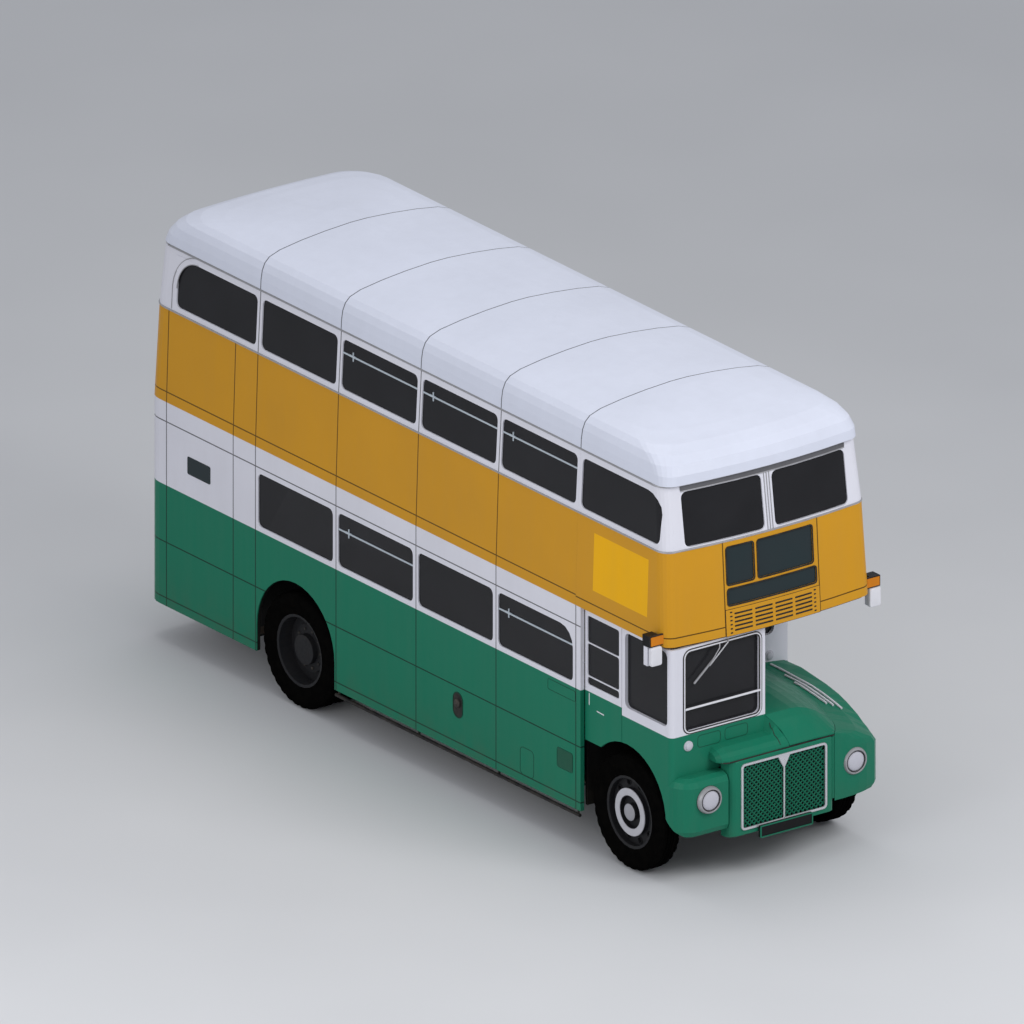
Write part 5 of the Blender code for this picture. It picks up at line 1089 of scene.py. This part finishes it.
# %% Stair treads and platform edge
PLATFORM_Z, STRIP_PITCH, STRIP_R = 0.4, 0.05, 0.004
stair = nodes["staircase"].data
levels = {}
for face in stair.polygons:
    if face.normal.z > 0.95:
        corners = [stair.vertices[i].co for i in face.vertices]
        levels.setdefault(round(corners[0].z, 3), []).extend(corners)
strips = []
for height, corners in sorted(levels.items()):
    x0, x1 = min(c.x for c in corners), max(c.x for c in corners)
    y0, y1 = min(c.y for c in corners), max(c.y for c in corners)
    z = height + 0.002
    if min(x1 - x0, y1 - y0) < 0.12:
        continue
    for k in range(1, int(min(x1 - x0, y1 - y0) / STRIP_PITCH)):
        if x1 - x0 > y1 - y0:
            ends = (x0 + 0.03, y0 + STRIP_PITCH * k, z), (x1 - 0.03, y0 + STRIP_PITCH * k, z)
        else:
            ends = (x0 + STRIP_PITCH * k, y0 + 0.03, z), (x0 + STRIP_PITCH * k, y1 - 0.03, z)
        strips.append(pipe(ends, STRIP_R, sides=1))
print("stair levels:", len(levels), "strips:", len(strips))
settled(strips, "stair_tread_strips", "bright_trim")
low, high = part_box("lower_floor")
edge_x, edge_y, edge_z = high[0] - 0.004, high[1] - 0.004, PLATFORM_Z - 0.008
slats = [pipe([(edge_x, station(-0.95), edge_z), (edge_x, edge_y - 0.12, edge_z)], 0.008)]
for k in range(16):
    x = edge_x - 0.03 - STRIP_PITCH * k
    slats.append(pipe([(x, station(f), PLATFORM_Z + 0.002) for f in (-0.98, -1.96)], STRIP_R, sides=1))
settled(slats, "platform_slats", "bright_trim")
print("platform ready")

# %% Driver's seat
low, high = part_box("driver_seat")
x, y_front, y_rear, base = (low[0] + high[0]) / 2, low[1], high[1], low[2]
seat_y, seat_z, back_z = y_front + 0.2, base + 0.235, base + 0.58
seat_pad = moved(pad("driver_cushion", 0.38, 0.37, 0.11, 0.035), x, seat_y, seat_z)
back_pad = moved(pad("driver_back", 0.38, 0.07, 0.5, 0.03), x, y_rear - 0.05, back_z)
cord = [piping(seat_pad, [(a + x, b + seat_y, c + seat_z) for a, b, c in oval_path(0.37, 0.36, 0.05)]),
        piping(back_pad, [(a + x, y_rear - 0.3, b + back_z) for a, b, c in oval_path(0.36, 0.48, 0)])]
for made in (seat_pad, back_pad):
    settled(made, made.name, "seat_cloth", angle=60)
settled(cord, "driver_piping", "piping")
PEDESTAL = [(0.0, 0.0), (0.15, 0.0), (0.15, 0.012), (0.05, 0.02), (0.045, 0.165), (0.13, 0.175),
            (0.13, 0.185), (0.0, 0.185)]
stand = [spun(PEDESTAL, (x, seat_y, base), "Z", 24)]
for bar_x in (x - 0.12, x + 0.12):
    stand.append(pipe([(bar_x, y_front + 0.3, base + 0.18), (bar_x, y_rear - 0.012, base + 0.22),
                       (bar_x, y_rear - 0.012, base + 0.7)], 0.011))
settled(stand, "driver_seat_stand", "black_steel")
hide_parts("driver_seat")
print("driver's seat ready")

# %% [markdown]
# ## Rear
# The photograph doesn't show the rear, so it has only what such a bus must have: lamps, and a frame round the
# emergency window with its handle.

# %% Rear fittings
REAR_LAMP = [(0.0, 0.03), (0.03, 0.028), (0.045, 0.018), (0.048, 0.006), (0.055, 0.004), (0.055, -0.004),
             (0.0, -0.004)]
lamps = [spun(REAR_LAMP, (-1.0, end_y(-1.0, z, False), z), "Y", 32) for z in (0.86, 1.02)]
settled(lamps, "rear_lamps", "red_lens")
WINDOW_LOW, WINDOW_HIGH, WINDOW_HALF, WINDOW_DEPTH, HANDLE_Z = 3.47, 3.934, 0.542, 0.013, 3.487
mid = (WINDOW_LOW + WINDOW_HIGH) / 2


def window_y(z):
    return station(level(z, TAIL) + WINDOW_DEPTH)


trim = laid(plate(2 * WINDOW_HALF, WINDOW_HIGH - WINDOW_LOW, 0.062, 0.008, rim=0.026),
            lambda along, depth, up: (along, window_y(mid + up) - depth, mid + up))
face = window_y(HANDLE_Z) + 0.006
grip = ((-0.07, face), (-0.07, face + 0.018), (0.07, face + 0.018), (0.07, face))
handle = pipe([(x, y, HANDLE_Z) for x, y in grip], 0.007)
settled([trim, handle], "emergency_window_frame", "white_enamel", "emergency_window")
print("rear ready")

# %% [markdown]
# ## Studio
# The photograph looks down on the front offside corner with no perspective, so the camera is orthographic.
# A pale floor and soft lamps stand in for its plain background.

# %% Camera, floor and lamps
AZIMUTH, ELEVATION = math.radians(-36.53), math.radians(21.54)
TARGET = Vector((-0.051, 0.005, 2.311))
level_part = math.cos(ELEVATION)
back = Vector((math.sin(AZIMUTH) * level_part, -math.cos(AZIMUTH) * level_part, math.sin(ELEVATION)))
bpy.ops.object.camera_add(location=TARGET + back * 20, rotation=back.to_track_quat("Z", "Y").to_euler())
camera = bpy.context.object
camera.data.type = "ORTHO"
camera.data.ortho_scale = 9.688
camera.data.clip_end = 200
bpy.context.scene.camera = camera
bpy.context.scene.view_settings.view_transform = "Standard"

bpy.ops.mesh.primitive_plane_add(size=120, location=(0, 0, -0.002))
floor = bpy.context.object
floor.name = "studio_floor"
floor_finish = Finish("studio_floor", roughness=0.9)
tone = floor_finish.spread(floor_finish.noise(0.3, 2), 0.0, 1.0)
floor_finish.set(base_color=floor_finish.mix(tone, (0.60, 0.61, 0.63), (0.63, 0.64, 0.66)))
floor.data.materials.append(floor_finish.material)

world = bpy.data.worlds.new("studio")
bpy.context.scene.world = world
world.use_nodes = True
world.node_tree.nodes["Background"].inputs["Color"].default_value = (0.93, 0.95, 1.0, 1)
world.node_tree.nodes["Background"].inputs["Strength"].default_value = 0.55
LAMPS = {  # place, size and power of each square soft lamp, all aimed at the bus
    "key_lamp": ((2.0, -14.0, 12.0), 7.0, 1050),
    "fill_lamp": ((-14.0, -5.0, 6.0), 9.0, 560),
    "top_lamp": ((0.0, 3.0, 16.0), 9.0, 430),
}
for name, (place, size, power) in LAMPS.items():
    bpy.ops.object.light_add(type="AREA", location=place)
    lamp = bpy.context.object
    lamp.name, lamp.data.size, lamp.data.energy = name, size, power
    lamp.rotation_euler = (Vector(place) - TARGET).to_track_quat("Z", "Y").to_euler()
print("studio ready")
